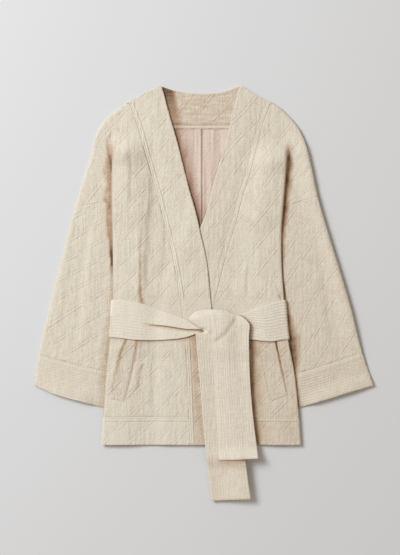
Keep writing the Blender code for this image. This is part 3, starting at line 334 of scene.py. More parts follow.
class Side:
    """Distances out from the middle are positive on both sides."""

    def __init__(self, name, sign, pleat_top, underarm, **tables):
        self.name, self.sign, self.pleat_top, self.underarm = name, sign, pleat_top, underarm
        for key, rows in tables.items():
            setattr(self, key, curve(rows))

    def edge(self, y):
        return self.sign * self.edge_x(y)

    def outline(self, y):
        return self.sign * self.outline_x(y)

    def folded(self, y):
        """How far the pleat is folded, from nearly flat to a full turn back."""
        return np.maximum(rise(-y, -self.pleat_top, -self.pleat_top + PLEAT_OPENING), LEAST_FOLD)

    def depth(self, y):
        return PLEAT_DEPTH * np.clip((self.pleat_top - y) / (self.pleat_top - self.underarm), 0, 1)

    def below_underarm(self, y):
        return rise(-y, -self.underarm, -self.underarm + UNDERARM_SLOPE)

    def radius(self, y):
        """Radius of the middle line in a turn: below the underarm the side edge is a plain fold."""
        return TURN * (1 - 0.98 * self.below_underarm(y)) / self.folded(y)

    def start(self, y):
        """Distance out at which the body's edge begins to turn down."""
        most = np.minimum(self.folded(y) * np.pi, np.pi / 2)
        return self.edge(y) - (self.radius(y) + TIP) * np.sin(most)

    def second(self, y):
        """Distance out at which the pleat has turned back and the shoulder cap goes on."""
        turn = self.folded(y) * np.pi
        return self.start(y) + 2 * self.radius(y) * np.sin(turn) + self.depth(y) * np.cos(turn)

    def height(self, y):
        """Height of the middle line at the body's edge."""
        turn = self.folded(y) * np.pi
        pleat = 2 * self.radius(y) * (1 - np.cos(turn)) + self.depth(y) * np.sin(turn)
        below = self.below_underarm(y)
        return FLAT_MID + pleat * (1 - below) + (OVER_SLEEVE - FLAT_MID) * below + belt_lift(y)

    def cap_start(self, y):
        """The cloth coordinate where the shoulder cap begins, past the pleat."""
        return self.start(y) + 2 * TURN_LENGTH + self.depth(y)

    def cap_end(self, y):
        """The cloth coordinate of the outline, where the cap starts to turn down."""
        return self.cap_start(y) + self.outline(y) - TIP - self.second(y)

    def tube_tip(self, y):
        """Distance out at which a flat tube starts to turn round its outline."""
        return self.outline(y) - LAYER_GAP / 2 - WALL

    def path(self, p, y):
        """Distance out, height and heading of the middle line at cloth coordinate p."""
        r, depth, full = self.radius(y), self.depth(y), self.folded(y) * np.pi
        q = p - self.start(y)
        first = np.clip(q / TURN_LENGTH, 0, 1) * full
        back = np.clip(q - TURN_LENGTH, 0, depth)
        again = np.clip((q - TURN_LENGTH - depth) / TURN_LENGTH, 0, 1) * full
        on = np.maximum(q - 2 * TURN_LENGTH - depth, 0)
        out = self.start(y) + np.minimum(q, 0) + r * np.sin(first) + back * np.cos(full)
        out = out + r * (np.sin(full) - np.sin(full - again)) + on
        drop = r * (1 - np.cos(first)) + back * np.sin(full) + r * (np.cos(full - again) - np.cos(full))
        return out, drop, first - again


# Lines down the coat have columns y, x. Lines across it have columns distance out from the middle, y.
RIGHT = Side(
    "right", -1, pleat_top=362 * MM, underarm=180 * MM,
    edge_x=[(391, -193), (367, -195), (314, -200), (61, -200), (-16, -200), (-100, -206), (-181, -215),
            (-251, -220), (-335, -226)],
    outline_x=[(456, -94), (422, -162), (391, -206), (353, -234), (303, -248), (188, -283), (105, -305),
               (-27, -338), (-98, -355), (-135, -362), (-203, -374)],
    front_x=[(456, -93), (397, -77), (331, -58), (243, -36), (171, -16), (136, -8), (76, 5), (-36, 17),
             (-115, 27), (-335, 47)],
    seam_x=[(418, -164), (369, -146), (320, -132), (243, -110), (149, -85), (83, -69), (-31, -50),
            (-104, -41), (-181, -36), (-262, -33), (-335, -30)],
    arm_y=[(160, 184), (190, 194), (222, 200), (254, 195), (300, 181)],
    cuff_seam_y=[(180, -181), (217, -172), (283, -157), (360, -136), (400, -124)],
    cuff_end_y=[(190, -260), (226, -251), (283, -236), (327, -223), (374, -203), (400, -192)],
)
LEFT = Side(
    "left", 1, pleat_top=345 * MM, underarm=173 * MM,
    edge_x=[(380, 188), (347, 187), (288, 183), (233, 179), (171, 174), (105, 171), (39, 173), (-16, 177),
            (-104, 186), (-177, 200), (-254, 208), (-335, 214)],
    outline_x=[(456, 80), (433, 118), (415, 156), (393, 184), (367, 206), (331, 223), (281, 236), (215, 250),
               (138, 272), (67, 294), (-27, 322), (-131, 349), (-203, 374)],
    front_x=[(456, 80), (419, 69), (360, 55), (292, 36), (232, 19), (171, 3), (142, -8), (61, -33),
             (-27, -55), (-126, -59), (-335, -59)],
    seam_x=[(418, 147), (369, 129), (314, 115), (265, 102), (210, 85), (149, 69), (94, 52), (39, 38),
            (-27, 22), (-115, 18), (-335, 18)],
    arm_y=[(140, 174), (174, 187), (206, 200), (243, 211), (280, 220)],
    cuff_seam_y=[(170, -185), (205, -177), (278, -156), (349, -131), (390, -117)],
    cuff_end_y=[(180, -262), (212, -252), (294, -227), (375, -203), (400, -195)],
)
neck_top_y = curve(NECK_TOP)
low_left, low_right = curve(TAIL_LOWER, 1), curve(TAIL_LOWER, 2)
up_left, up_right = curve(TAIL_UPPER, 1), curve(TAIL_UPPER, 2)
belt_right_bottom, belt_left_bottom = (curve(BELT_STRETCHES[name], 2) for name in ("right", "left"))


# Heights of the layers

def belt_lift(y):
    """The body lies on the back stretch of the belt."""
    return (BELT_WALL + BELT_CLEAR) * covers(np.minimum(BELT_BACK_TOP_Y - y, y - BELT_BACK_BOTTOM_Y))


def middle(x, y):
    """Height of the line between the back layer and the front layers, inside the body."""
    height = FLAT_MID + belt_lift(y)
    for side in (RIGHT, LEFT):
        start = side.start(y)
        flat = np.where(y > side.underarm - TUCK, side.depth(y) + 2 * TURN + TIP, TUCK) + BRIDGE / 2
        level = side.height(y) - FLAT_MID - belt_lift(y)
        height = height + level * rise(side.sign * x, start - flat - 2 * SLOPE, start - flat)
    return height


def lower_front(x, y):
    """Inner surface of the wearer's left front, which lies over the facing and the lining."""
    across = np.minimum(x - RIGHT.front_x(y) + LINING_MARGIN, LEFT.front_x(y) + LINING_MARGIN - x)
    inside = INSIDE_LIFT * covers(np.minimum(across, y - LINING_BOTTOM_Y))
    loose = np.minimum(LEFT.start(y) - x, x + RIGHT.start(y))
    return middle(x, y) + inside + LAYER_GAP / 2 + AIR * ramp(loose, 0, 26)


def upper_front(x, y):
    """Inner surface of the wearer's right front, which lies over the left one."""
    covered = np.minimum(x - LEFT.front_x(y), OVERLAP_TOP_Y - y)
    return lower_front(x, y) + OVERLAP_LIFT * covers(covered)


RIGHT.base, LEFT.base = upper_front, lower_front


def front_top(x, y):
    """Top of whichever front shows at a place, without its quilting."""
    upper = covers(RIGHT.front_x(y) - x)
    return lower_front(x, y) + (upper_front(x, y) - lower_front(x, y)) * upper + BAND_WALL


# Outlines and triangles

def outline_of(*runs):
    """One closed outline from runs of points, without repeats."""
    ring = np.vstack(runs)
    keep = np.linalg.norm(ring - np.roll(ring, 1, axis=0), axis=1) > 0.05 * MM
    return ring[keep]


def between(left, right, end=None):
    """The outline between two runs that start level and end level; end may take the last run's place."""
    if end is None:
        end = points(along(left[-1][0], right[-1][0]), left[-1][1])
    return outline_of(left, end, right[::-1], points(along(right[0][0], left[0][0]), right[0][1]))


def strip_ring(rows):
    """The outline round runs of points that lie side by side."""
    last, first = (np.array([row[end] for row in rows[1:-1]]) for end in (-1, 0))
    return outline_of(rows[0], last, rows[-1][::-1], first[::-1])


def edge_distance(place, ring):
    """Distance of each point to the outline."""
    best = np.full(len(place), np.inf)
    for start, end in zip(ring, np.roll(ring, -1, axis=0)):
        run = end - start
        t = np.clip((place - start) @ run / (run @ run), 0, 1)
        best = np.minimum(best, np.linalg.norm(place - start - t[:, None] * run, axis=1))
    return best


def within(place, ring):
    """Which points lie inside the outline."""
    x, y = place[:, 0], place[:, 1]
    inside = np.zeros(len(place), bool)
    for (x0, y0), (x1, y1) in zip(ring, np.roll(ring, -1, axis=0)):
        crosses = (y0 > y) != (y1 > y)
        level = np.where(crosses, (x1 - x0) * (y - y0) / (y1 - y0 if y1 != y0 else 1) + x0, -np.inf)
        inside ^= crosses & (x < level)
    return inside


def triangulate(ring, extra, lines):
    """Points and triangles of an outline with points inside it and lines that stay edges."""
    place = [tuple(p) for p in ring]
    edges = []
    for line in lines:
        first = len(place)
        place += [tuple(p) for p in line]
        edges += [(i, i + 1) for i in range(first, len(place) - 1)]
    place += [tuple(p) for p in extra]
    found = delaunay_2d_cdt([Vector(p) for p in place], edges, [list(range(len(ring)))], 1, 1e-7)
    return np.array([tuple(p) for p in found[0]]), found[2], found[3]


def signed_area(ring):
    """Negative if the outline runs clockwise."""
    x, y = ring[:, 0], ring[:, 1]
    return np.sum(x * np.roll(y, -1) - y * np.roll(x, -1)) / 2


def grid(ring, step=COARSE):
    """Points of one plain grid round an outline. Hidden layers share it, so they stay parallel."""
    low, high = ring.min(axis=0), ring.max(axis=0)
    i, j = (np.arange(int(np.floor(low[k] / step)), int(np.ceil(high[k] / step)) + 1) for k in (0, 1))
    i, j = np.meshgrid(i, j)
    return points((i + (j % 2) / 2).ravel() * step, j.ravel() * step)


def arm_level(side, p):
    """y of the armhole seam at cloth coordinate p, past the body's edge."""
    y = np.full_like(p, side.underarm)
    for _ in range(6):
        y = side.arm_y(side.path(p, y)[0])
    return y


def fold_coordinates(side, y):
    """Cloth coordinates of the creases of the pleat at one y."""
    turn = [side.start(y) + TURN_LENGTH * k / TURN_STEPS for k in range(TURN_STEPS + 1)]
    return turn + [turn[-1] + side.depth(y) + TURN_LENGTH * k / TURN_STEPS for k in range(TURN_STEPS + 1)]


def fold_lines(side, run_on=0):
    """The creases of the pleat as lines. The first run_on of them go on down the turned side edge."""
    lines = []
    for k in range(2 * TURN_STEPS + 2):
        bottom = side.underarm
        for _ in range(4):
            bottom = float(arm_level(side, np.array([fold_coordinates(side, bottom)[k]]))[0])
        y = along(side.pleat_top, bottom + FOLD_END)
        if k < run_on:
            y = np.concatenate([y, along(y[-1], HEM_SEAM_Y + FOLD_END)[1:]])
        lines.append(signed(side, fold_coordinates(side, y)[k], y))
    return lines


def side_run(side, end, top, first, edge):
    """Down the outline from top, round the cap to one of the pleat's creases, and down the body's edge."""
    y = np.array([side.underarm])
    corner = y
    for _ in range(8):
        corner = side.arm_y(side.path(end(corner), corner)[0])
    corner = float(corner[0]) + ARM_SEAM
    folds = [float(start[0]) for start in fold_coordinates(side, y)][first:]
    p = np.array(folds + list(along(folds[-1], float(end(np.array([corner]))[0])))[1:-1])
    cap = signed(side, p, arm_level(side, p) + ARM_SEAM)[::-1]
    body = column(side, edge, float(cap[-1][1]) - 2 * MM, HEM_SEAM_Y + SEAM)
    return np.vstack([column(side, end, top, corner), cap, body])


def shoulder_top(side):
    """y where the band's seam meets the outline of the shoulder."""
    levels = np.linspace(360 * MM, 440 * MM, 400)
    width = side.outline(levels) - side.sign * side.seam_x(levels)
    return float(levels[np.argmin(np.abs(width - 7 * MM))])


# Place functions

def layers(side, out, y, z, heading, *distances):
    """The surfaces at distances from a middle line, which heads down by an angle."""
    return [np.column_stack([side.sign * (out + away * np.sin(heading)), y, z + away * np.cos(heading)])
            for away in distances]


def plate(bottom, wall, relief=None):
    """Cloth that lies flat: bottom(x, y) is its lower surface and relief raises its top."""
    def place(x, y):
        low = bottom(x, y)
        high = low + wall + (relief(x, y) if relief else 0)
        return np.column_stack([x, y, low]), np.column_stack([x, y, high])
    return place


def rim_rise(side, out, y):
    """The left sleeve's outer edge stands a little above the floor."""
    if side is RIGHT:
        return np.zeros(np.shape(y))
    return 8 * MM * ramp(out - side.outline(y), -46, -4) * ramp(y, -205, -60) * (1 - ramp(y, 300, 400))


def front_place(side, relief):
    """A front: its body, the pleat at the armhole, the cap and the turned edges."""
    def place(u, y):
        p = side.sign * u
        out, drop, heading = side.path(p, y)
        past = np.clip(p - side.cap_end(y), 0, None)
        upper = y > side.underarm - 1 * MM
        heading = heading + np.where(upper, np.minimum(past, EDGE_TURN) / EDGE_TURN * np.pi / 2, 0)
        out = out - np.where(upper, past, 0)
        flat = side.base(side.sign * np.minimum(p, side.start(y)), y) - LAYER_GAP / 2
        z = np.where(p < side.start(y), flat, side.height(y) - drop) + rim_rise(side, out, y)
        return layers(side, out, y, z, heading, LAYER_GAP / 2, LAYER_GAP / 2 + WALL + relief(u, y))
    return place


def back_place(u, y):
    """The back panel with the same pleats; its own outer side is below."""
    x, z, lean = np.zeros_like(u), np.zeros_like(u), np.zeros_like(u)
    for side in (RIGHT, LEFT):
        p = side.sign * u
        mine = p > 0
        out, drop, heading = side.path(p, y)
        height = np.where(p < side.start(y), middle(side.sign * np.minimum(p, side.start(y)), y),
                          side.height(y) - drop) + rim_rise(side, out, y)
        x = np.where(mine, side.sign * out, x)
        z = np.where(mine, height, z)
        lean = np.where(mine, side.sign * heading, lean)
    z = np.where(u == 0, middle(u, y), z)
    return layers(LEFT, x, y, z, lean, -TIP, -LAYER_GAP / 2)


def tube_place(side, relief):
    """A flat tube open at both ends, joined under the body: top, turn at the outline, bottom."""
    def place(u, y):
        p, tip = side.sign * u, side.tube_tip(y)
        heading = np.clip((p - tip) / TUBE_TURN, 0, 1) * np.pi
        out = np.minimum(p, tip) - np.maximum(p - tip - TUBE_TURN, 0)
        top = np.where(p < tip, relief(u, y), 0)
        curl = 8 * MM * (1 - ramp(y - side.cuff_end_y(out), 0, 38))
        curl = curl * ramp(out - side.edge(y), 8, 50) * (1 - 0.5 * ramp(out, 320, 370))
        z = WALL + LAYER_GAP / 2 + np.maximum(curl, rim_rise(side, out, y))
        return layers(side, out, y, z, heading, LAYER_GAP / 2, LAYER_GAP / 2 + WALL + top)
    return place


def belt_place(side, ribs):
    """A belt stretch: over the front and round the body's edge. Here u counts from where the edge turns."""
    def place(u, y):
        q, start = side.sign * u, side.start(y)
        out = start + np.minimum(q, 0)
        z = np.where(q < 0, side.base(side.sign * out, y) + BAND_WALL - TIP, side.height(y))
        inner = TIP + BELT_CLEAR
        return layers(side, out, y, z, np.clip(q / BELT_AROUND, 0, np.pi), inner,
                      inner + BELT_WALL + ribs(start + q, y))
    return place


# Relief and shade

def noise(u, v, size, seed, stretch=1.0):
    """Smooth bumps from -1 to 1, about size millimetres across and stretch times as long in v."""
    a, b = np.asarray(u) / (size * MM), np.asarray(v) / (size * MM * stretch)
    i, j = np.floor(a), np.floor(b)
    s, t = a - i, b - j
    s, t = s * s * (3 - 2 * s), t * t * (3 - 2 * t)

    def corner(p, q):
        value = np.sin(p * 127.1 + q * 311.7 + seed * 74.7) * 43758.5453
        return 2 * (value - np.floor(value)) - 1

    low = corner(i, j) * (1 - s) + corner(i + 1, j) * s
    high = corner(i, j + 1) * (1 - s) + corner(i + 1, j + 1) * s
    return low * (1 - t) + high * t


def crinkle(u, v, seed):
    """The cloth's own small creases, longer up the cloth than across it."""
    return CRINKLE * (0.6 * noise(u, v, 4.2, seed, 2.4) + 0.85 * noise(u, v, 2.9, seed + 11, 16)
                      + 0.35 * noise(v, u, 4.6, seed + 3, 2.0) + 0.8 * noise(u, v, 15, seed + 7, 1.4))


def stitched(name, u, v):
    """Place across each direction of stitching, in pitches, and the rise of the diamonds."""
    angles = np.radians(QUILT_ANGLES[name])
    axes = np.column_stack([-np.sin(angles), np.cos(angles)])
    place = np.column_stack([u, v]) @ axes.T + (6.5 * MM * noise(u, v, 105, 5))[:, None]
    away = np.abs(place - STITCH_PITCH * np.round(place / STITCH_PITCH))
    beyond = np.clip((away - PAIR / 2) / (STITCH_PITCH / 2 - PAIR / 2), 0, 1)
    return place / STITCH_PITCH, 1 - (1 - beyond.min(axis=1)) ** 3


def quilted(name, u, v, seed, inside=1):
    """Relief of the quilted cloth; its diamonds rise only inside."""
    return PUFFED * stitched(name, u, v)[1] * inside + SINK + crinkle(u, v, seed)


def stitching(name, strength=None):
    """A function for sew that gives the stitched lines of a piece, with their strength from 0 to 1."""
    def read(u, v):
        place = stitched(name, u, v)[0]
        return np.column_stack([place, strength(u, v) if strength else np.ones(len(place))])
    return read


def to_line(x, y, rows):
    """Signed distance to a line of points in millimetres, and how far along it, from 0 to 1."""
    line = np.array(rows, float) * MM
    runs = np.diff(line, axis=0)
    lengths = np.linalg.norm(runs, axis=1)
    best = np.full(np.shape(x), np.inf)
    signed_away, share = np.zeros_like(best), np.zeros_like(best)
    done = 0.0
    for start, run, length in zip(line, runs, lengths):
        dx, dy = x - start[0], y - start[1]
        t = np.clip((dx * run[0] + dy * run[1]) / length ** 2, 0, 1)
        away = np.hypot(dx - t * run[0], dy - t * run[1])
        nearer = away < best
        best = np.where(nearer, away, best)
        signed_away = np.where(nearer, np.where(run[0] * dy < run[1] * dx, away, -away), signed_away)
        share = np.where(nearer, (done + t * length) / lengths.sum(), share)
        done += length
    return signed_away, share


def folds(name, x, y):
    """Soft folds that rise to a line from one side and drop sharply on the other; the painted shade past
    each.
    """
    raised, shade = np.zeros(np.shape(x)), np.zeros(np.shape(x))
    for rows, width, height, side in FOLDS[name]:
        away, share = to_line(x, y, rows)
        away = away * side / MM
        slope = np.where(away < 0, bell(away, width), bell(away, 0.38 * width))
        back = -0.35 * bell(away - 0.55 * width, 0.3 * width) * (away > 0)
        raised += height * MM * rise(share, 0, 0.18) * (1 - rise(share, 0.82, 1)) * (slope + back)
        ends = rise(share, 0, 0.25) * (1 - rise(share, 0.85, 1))
        shade += 0.08 * height * ends * bell(away - 0.28 * width, 0.22 * width)
    return raised, shade


def creases(x, y):
    """Depth of the sharp creases in metres, and the painted shade in them."""
    sunk, dark = np.zeros(np.shape(x)), np.zeros(np.shape(x))
    for rows, width, depth in CREASES:
        away, share = to_line(x, y, rows)
        wide = width * MM * (1 + 0.3 * noise(x, y, 9, 41))
        fading = depth * (1 - 0.8 * share) * (1 - rise(share, 0.93, 1)) * (1 + 0.3 * noise(x, y, 5, 42))
        dark = np.maximum(dark, fading * bell(away, wide))
        sunk += np.minimum(fading, 1) * (0.8 * bell(away + 1.6 * wide, wide) - bell(away, wide))
    return 1.1 * MM * sunk, dark


def cast(x, y):
    """Painted shadow on the coat beside the tails and below the belt, and the body a little darker towards
    the right below the belt.
    """
    low = ramp(-y, 96, 104)
    reach = (17 - 4 * ramp(-y, 200, 330)) * MM
    shade = 1.25 * np.exp(-((np.maximum(x - up_right(y), 0) / reach) ** 1.5)) * (x > 40 * MM)
    shade += 0.62 * bell(np.maximum(low_left(y) - x, 0), 22 * MM) * (x < 20 * MM)
    shade = low * (shade + 0.2 * ramp(x, 60, 130) - 0.05)
    strength = 0.5 + 0.7 * line_at(x, -128, 18) + line_at(x, -14, 24)
    for below, most, reach, where in (
            (belt_right_bottom(-x) - y, strength, 3.2 + 3.5 * strength, x < 0),
            (belt_left_bottom(x) - y, 0.8, 3.5, x > 70 * MM)):
        shade += most * np.exp(-np.maximum(below, 0) / (reach * MM)) * ramp(below, -4, -1) * where
    return shade * (1 + 0.25 * noise(x, y, 6, 51, 2) + 0.15 * noise(x, y, 15, 52))


def side_shade(side, x, y):
    """Painted shade on the cloth outside the body's edge, over 1 where it is deepest."""
    width, depth = (curve(SHADES[side.name], k)(y) for k in (1, 2))
    away = side.sign * x - side.edge(y)
    uneven = 1 + 0.22 * noise(x, y, 4, 21, 7) + 0.15 * noise(x, y, 11, 22, 1.5)
    uneven += (0.25 if side is RIGHT else 0.12) * noise(y, x, 4.5, 25, 2.2)
    reach = width * (1 + 0.25 * noise(x, y, 14, 23))
    shade = depth / MM / 100 * (1 - rise(away, 0.15 * width, reach)) * uneven
    for rows in SHADE_CREASES if side is RIGHT else ():
        shade += 0.62 * line_at(to_line(x, y, rows)[0], 0, 3.4) * ramp(away, -1, 2)
    return shade


def opening_shade(x, y):
    """Painted shadow on the facing and the lining beside the front edge that lies over them, and a line of
    painted shade along the other front edge.
    """
    away = np.maximum(x - RIGHT.front_x(y), 0)
    far = np.maximum(LEFT.front_x(y) - x, 0)
    return ((1 + 0.2 * noise(x, y, 9, 24, 2)) * 1.5 * np.exp(-((away / (15 * MM)) ** 1.4))
            + 0.4 * line_at(far, 0, 2))


# Material

def fabric(slot):
    """Crinkled linen: uneven threads both ways, small crumples, and darker cloth in the stitching, with
    painted shade from a mesh attribute that goes deeper past 1.
    """
    colour, deep, roughness = FINISHES[slot]
    made = bpy.data.materials.new("cloth_" + slot)
    made.use_nodes = True
    nodes, links = made.node_tree.nodes, made.node_tree.links

    def fill(node, inputs):
        for key, value in inputs.items():
            if isinstance(value, bpy.types.NodeSocket):
                links.new(value, node.inputs[key])
            else:
                node.inputs[key].default_value = value

    def add(kind, inputs, **settings):
        node = nodes.new("ShaderNode" + kind)
        for key, value in settings.items():
            setattr(node, key, value)
        fill(node, inputs)
        return node.outputs

    def combine(operation, first, second=0.0):
        return add("Math", {0: first, 1: second}, operation=operation)[0]

    def scaled_sum(*terms):
        total = 0.0
        for value, weight in terms:
            total = combine("ADD", combine("MULTIPLY", value, weight), total)
        return total

    def texture(across, up, detail, distortion=0.0):
        scaled = add("Mapping", {"Vector": cloth["Vector"], "Scale": (across, up, 1)})
        return add("TexNoise", {"Vector": scaled["Vector"], "Scale": 1, "Detail": detail,
                                "Distortion": distortion})["Fac"]

    def hump(value, width):
        """1 at 0, down to 0 at width pitches."""
        share = combine("DIVIDE", value, width)
        return combine("MAXIMUM", combine("SUBTRACT", 1.0, combine("MULTIPLY", share, share)))

    def pair_of_lines(place):
        """Two lines of stitches and the ridge between them, from the place in pitches."""
        share = combine("SUBTRACT", combine("FRACT", combine("ADD", place, 0.5)), 0.5)
        nearest = combine("ABSOLUTE", share)
        half = PAIR / 2 / STITCH_PITCH
        away = combine("ABSOLUTE", combine("SUBTRACT", nearest, half))
        return hump(away, GROOVE / STITCH_PITCH), hump(nearest, half)

    def blend(factor, first, second):
        return add("Mix", {"Factor": factor, MIX_A: first, MIX_B: second}, data_type="RGBA",
                   clamp_factor=True)[MIX_RESULT]

    cloth, painted_shade_and_seams, stitch = (add("Attribute", {}, attribute_name=name) for name in ("cloth", "painted_shade_and_seams", "stitch"))
    parts = add("SeparateXYZ", {"Vector": stitch["Vector"]})
    first_line, first_ridge = pair_of_lines(parts["X"])
    second_line, second_ridge = pair_of_lines(parts["Y"])
    warp, weft = texture(560, 40, 2), texture(40, 480, 2)
    crumple, patches = texture(290, 190, 3, 0.8), texture(22, 16, 3)
    broken = combine("MAXIMUM", combine("MULTIPLY", combine("SUBTRACT", texture(30, 30, 2), 0.32), 3.6))
    broken = combine("MULTIPLY", combine("MINIMUM", broken, 1.0), parts["Z"])
    lines = combine("MAXIMUM", first_line, combine("MULTIPLY", second_line, 0.62))
    lines = combine("MULTIPLY", lines, broken)
    ridges = combine("MAXIMUM", first_ridge, combine("MULTIPLY", second_ridge, 0.5))
    ridges = combine("MULTIPLY", ridges, broken)
    height = scaled_sum((warp, 0.75), (weft, 0.35), (crumple, 0.8), (lines, -STITCH_RELIEF),
                        (ridges, STITCH_RELIEF))
    bump = add("Bump", {"Distance": 1.1 * MM * roughness, "Height": height})
    dark = scaled_sum((combine("SUBTRACT", 0.60, combine("MAXIMUM", warp, weft)), 1.1),
                      (combine("SUBTRACT", 0.5, crumple), 0.5), (combine("SUBTRACT", 0.5, patches), 0.12),
                      (lines, STITCH_DARK))
    # Painted shade from the attribute joins the weave's darkness; past 1 it turns to the deepest painted
    # shade.
    weave_and_painted_shade = blend(combine("ADD", dark, painted_shade_and_seams["Fac"]), (*colour, 1), (*deep, 1))
    shaded = blend(combine("SUBTRACT", painted_shade_and_seams["Fac"], 1.0), weave_and_painted_shade, (*DEEPEST_PAINTED_SHADE, 1))
    fill(nodes["Principled BSDF"], {
        "Roughness": 0.92, "Specular IOR Level": 0.18, "Sheen Weight": 0.12, "Sheen Roughness": 0.6,
        "Base Color": shaded, "Normal": bump["Normal"]})
    return made


cloths = {slot: fabric(slot) for slot in FINISHES}


# Cloth

def sew(node, slot, place, ring, outer=None, inner=None, lines=(), painted_shade_and_seams=None,
        stitch=None, rim_shade=0.0):
    """A closed wall of cloth in place of one node. place gives its lower and upper points."""
    if signed_area(ring) < 0:
        ring = ring[::-1]
    run = np.roll(ring, -1, axis=0) - np.roll(ring, 1, axis=0)
    run = run / np.linalg.norm(run, axis=1)[:, None]
    # Painted shade on the rims that face down or right, away from the light.
    rim_painted_shades = rim_shade * np.maximum(0.35 + 0.45 * run[:, 1] + 0.35 * run[:, 0], 0)
    verts, faces, rims, flats, painted_shades_and_seams, stitches = [], [], [], [], [], []
    for outside, extra, clear in ((True, outer, 0.8 * MM), (False, inner, 2.5 * MM)):
        extra = grid(ring) if extra is None else np.asarray(extra, float).reshape(-1, 2)
        extra = extra[within(extra, ring)]
        good = edge_distance(extra, ring) > clear
        for line in lines:
            good &= edge_distance(extra, line) > clear
        flat, triangles, origins = triangulate(ring, extra[good], lines)
        first = sum(len(v) for v in verts)
        verts.append(place(*flat.T)[1 if outside else 0])
        flats.append(flat)
        painted_shades_and_seams.append(painted_shade_and_seams(*flat.T) if outside and painted_shade_and_seams else np.zeros(len(flat)))
        stitches.append(stitch(*flat.T) if outside and stitch else np.zeros((len(flat), 3)))
        faces += [[first + i for i in (t if outside else t[::-1])] for t in triangles]
        rim = [None] * len(ring)
        for index, sources in enumerate(origins):
            for source in sources:
                if source < len(ring):
                    rim[source] = first + index
                    painted_shades_and_seams[-1][index] += rim_painted_shades[source]
        rims.append(rim)
    top, bottom = rims
    for i in range(len(ring)):
        j = (i + 1) % len(ring)
        faces.append([top[j], top[i], bottom[i], bottom[j]])
    name = "cloth_" + node
    mesh = bpy.data.meshes.new(name)
    mesh.from_pydata(np.vstack(verts).tolist(), [], faces)
    flat = np.vstack(flats)
    for key, kind, field, values in (
            ("cloth", "FLOAT_VECTOR", "vector", np.column_stack([flat, np.zeros(len(flat))])),
            ("painted_shade_and_seams", "FLOAT", "value", np.concatenate(painted_shades_and_seams)),
            ("stitch", "FLOAT_VECTOR", "vector", np.vstack(stitches))):
        mesh.attributes.new(key, kind, "POINT").data.foreach_set(field, values.astype(np.float32).ravel())
    mesh.validate()
    mesh.update()
    mesh.shade_smooth()
    mesh.set_sharp_from_angle(angle=np.radians(62))
    made = bpy.data.objects.new(name, mesh)
    bpy.context.scene.collection.objects.link(made)
    mesh.materials.append(cloths[slot])
    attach(made, "root")
    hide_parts(node)
    width, length = (float(side) for side in np.ptp(ring, axis=0))
    if min(width, length) > LEAST_SHEET:
        float(abs(signed_area(ring)))
    return made


# Pieces

def under_belt(x, y):
    """1 under the belt stretches and the tails, where the cloth is pressed flat."""
    stretch = ramp(np.minimum(-10 * MM - y, y + 110 * MM), -6, 6)
    tails = ramp(np.minimum(np.minimum(x + 22 * MM, 120 * MM - x), -100 * MM - y), -6, 6)
    return np.maximum(stretch, tails)


def under_welt(side, x, y):
    ring = np.array(WELTS[side.name], float) * MM
    place = np.column_stack([x, y])
    return ramp(np.where(within(place, ring), 1.0, -1.0) * edge_distance(place, ring), -5, 1)


def add_front(side):
    name = "front_" + side.name

    def edge(y):
        return side.start(y) + TURN_LENGTH / 2

    def seam(y):
        return side.sign * side.seam_x(y) + SEAM

    top = shoulder_top(side)
    down = side_run(side, lambda y: side.cap_end(y) + EDGE_TURN, top, TURN_STEPS // 2, edge)
    hem = signed(side, along(float(edge(HEM_SEAM_Y)), float(seam(HEM_SEAM_Y))), HEM_SEAM_Y + SEAM)
    ring = outline_of(down, hem, column(side, seam, HEM_SEAM_Y + SEAM, top))

    def seen(u, y):
        """Where the front shows: clear of its edges, the pleat and the other front."""
        p = side.sign * u
        out = side.path(p, y)[0]
        body = ramp(side.start(y) - p, -2, 5)
        cap = ramp(out - side.edge(y), 1, 8) * ramp(p - side.cap_start(y), -4, 4)
        flat_top = rise(y, side.pleat_top - 30 * MM, side.pleat_top)
        cap = np.maximum(cap, flat_top) * ramp(side.cap_end(y) - p, -2, 5)
        where = np.where(p < side.start(y), np.maximum(body, flat_top), cap)
        where = where * ramp(p - side.sign * side.seam_x(y), 0, 2) * ramp(y - HEM_SEAM_Y, 0, 3)
        return where * ramp(u - RIGHT.front_x(y), 4, 12) if side is LEFT else where

    def relief(u, y):
        x = side.sign * side.path(side.sign * u, y)[0]
        loose = (1 - under_belt(x, y)) * (1 - under_welt(side, x, y))
        return seen(u, y) * loose * (quilted(name, u, y, 1) + folds(name, x, y)[0] + creases(x, y)[0])

    # Painted shade in the folds and creases, shadows of the tails and belt, beside the body's edge, on the
    # turned side edge and at the outline; the seam line is darker stitching.
    def painted_shade_and_seams(u, y):
        p = side.sign * u
        x = side.sign * side.path(p, y)[0]
        outside = ramp(p - side.cap_start(y), -2, 0) * (y < side.pleat_top)
        turned = ramp(p - side.start(y), -1, 3) * (1 - outside)
        turned = turned * ramp(side.pleat_top - y, 10, 60) * (1.05 if side is LEFT else 0.7)
        body = 0.15 * line_at(p - side.sign * side.seam_x(y), 0, 1.5) + folds(name, x, y)[1]
        body = (body + cast(x, y) + creases(x, y)[1]) * (1 - outside)
        outline = 0.12 * ramp(p - side.cap_end(y), -4, 0) * (y > side.underarm)
        return body * seen(u, y) + outside * side_shade(side, x, y) + turned + outline

    plain, fine = grid(ring), grid(ring, FINE)
    outer = np.vstack([fine[seen(*fine.T) > 0.02], plain[seen(*plain.T) <= 0.02]])
    sew(name, "shell", front_place(side, relief), ring, outer, plain, fold_lines(side, TURN_STEPS // 2), painted_shade_and_seams,
        stitch=stitching(name, seen))


def add_back():
    def run(side):
        return side_run(side, lambda y: side.cap_end(y) + TIP, NECK_SEAM_Y - SEAM, 0, side.start)

    left, right = run(LEFT), run(RIGHT)
    sew("back_panel", "shell", back_place, between(left, right), lines=fold_lines(LEFT) + fold_lines(RIGHT))


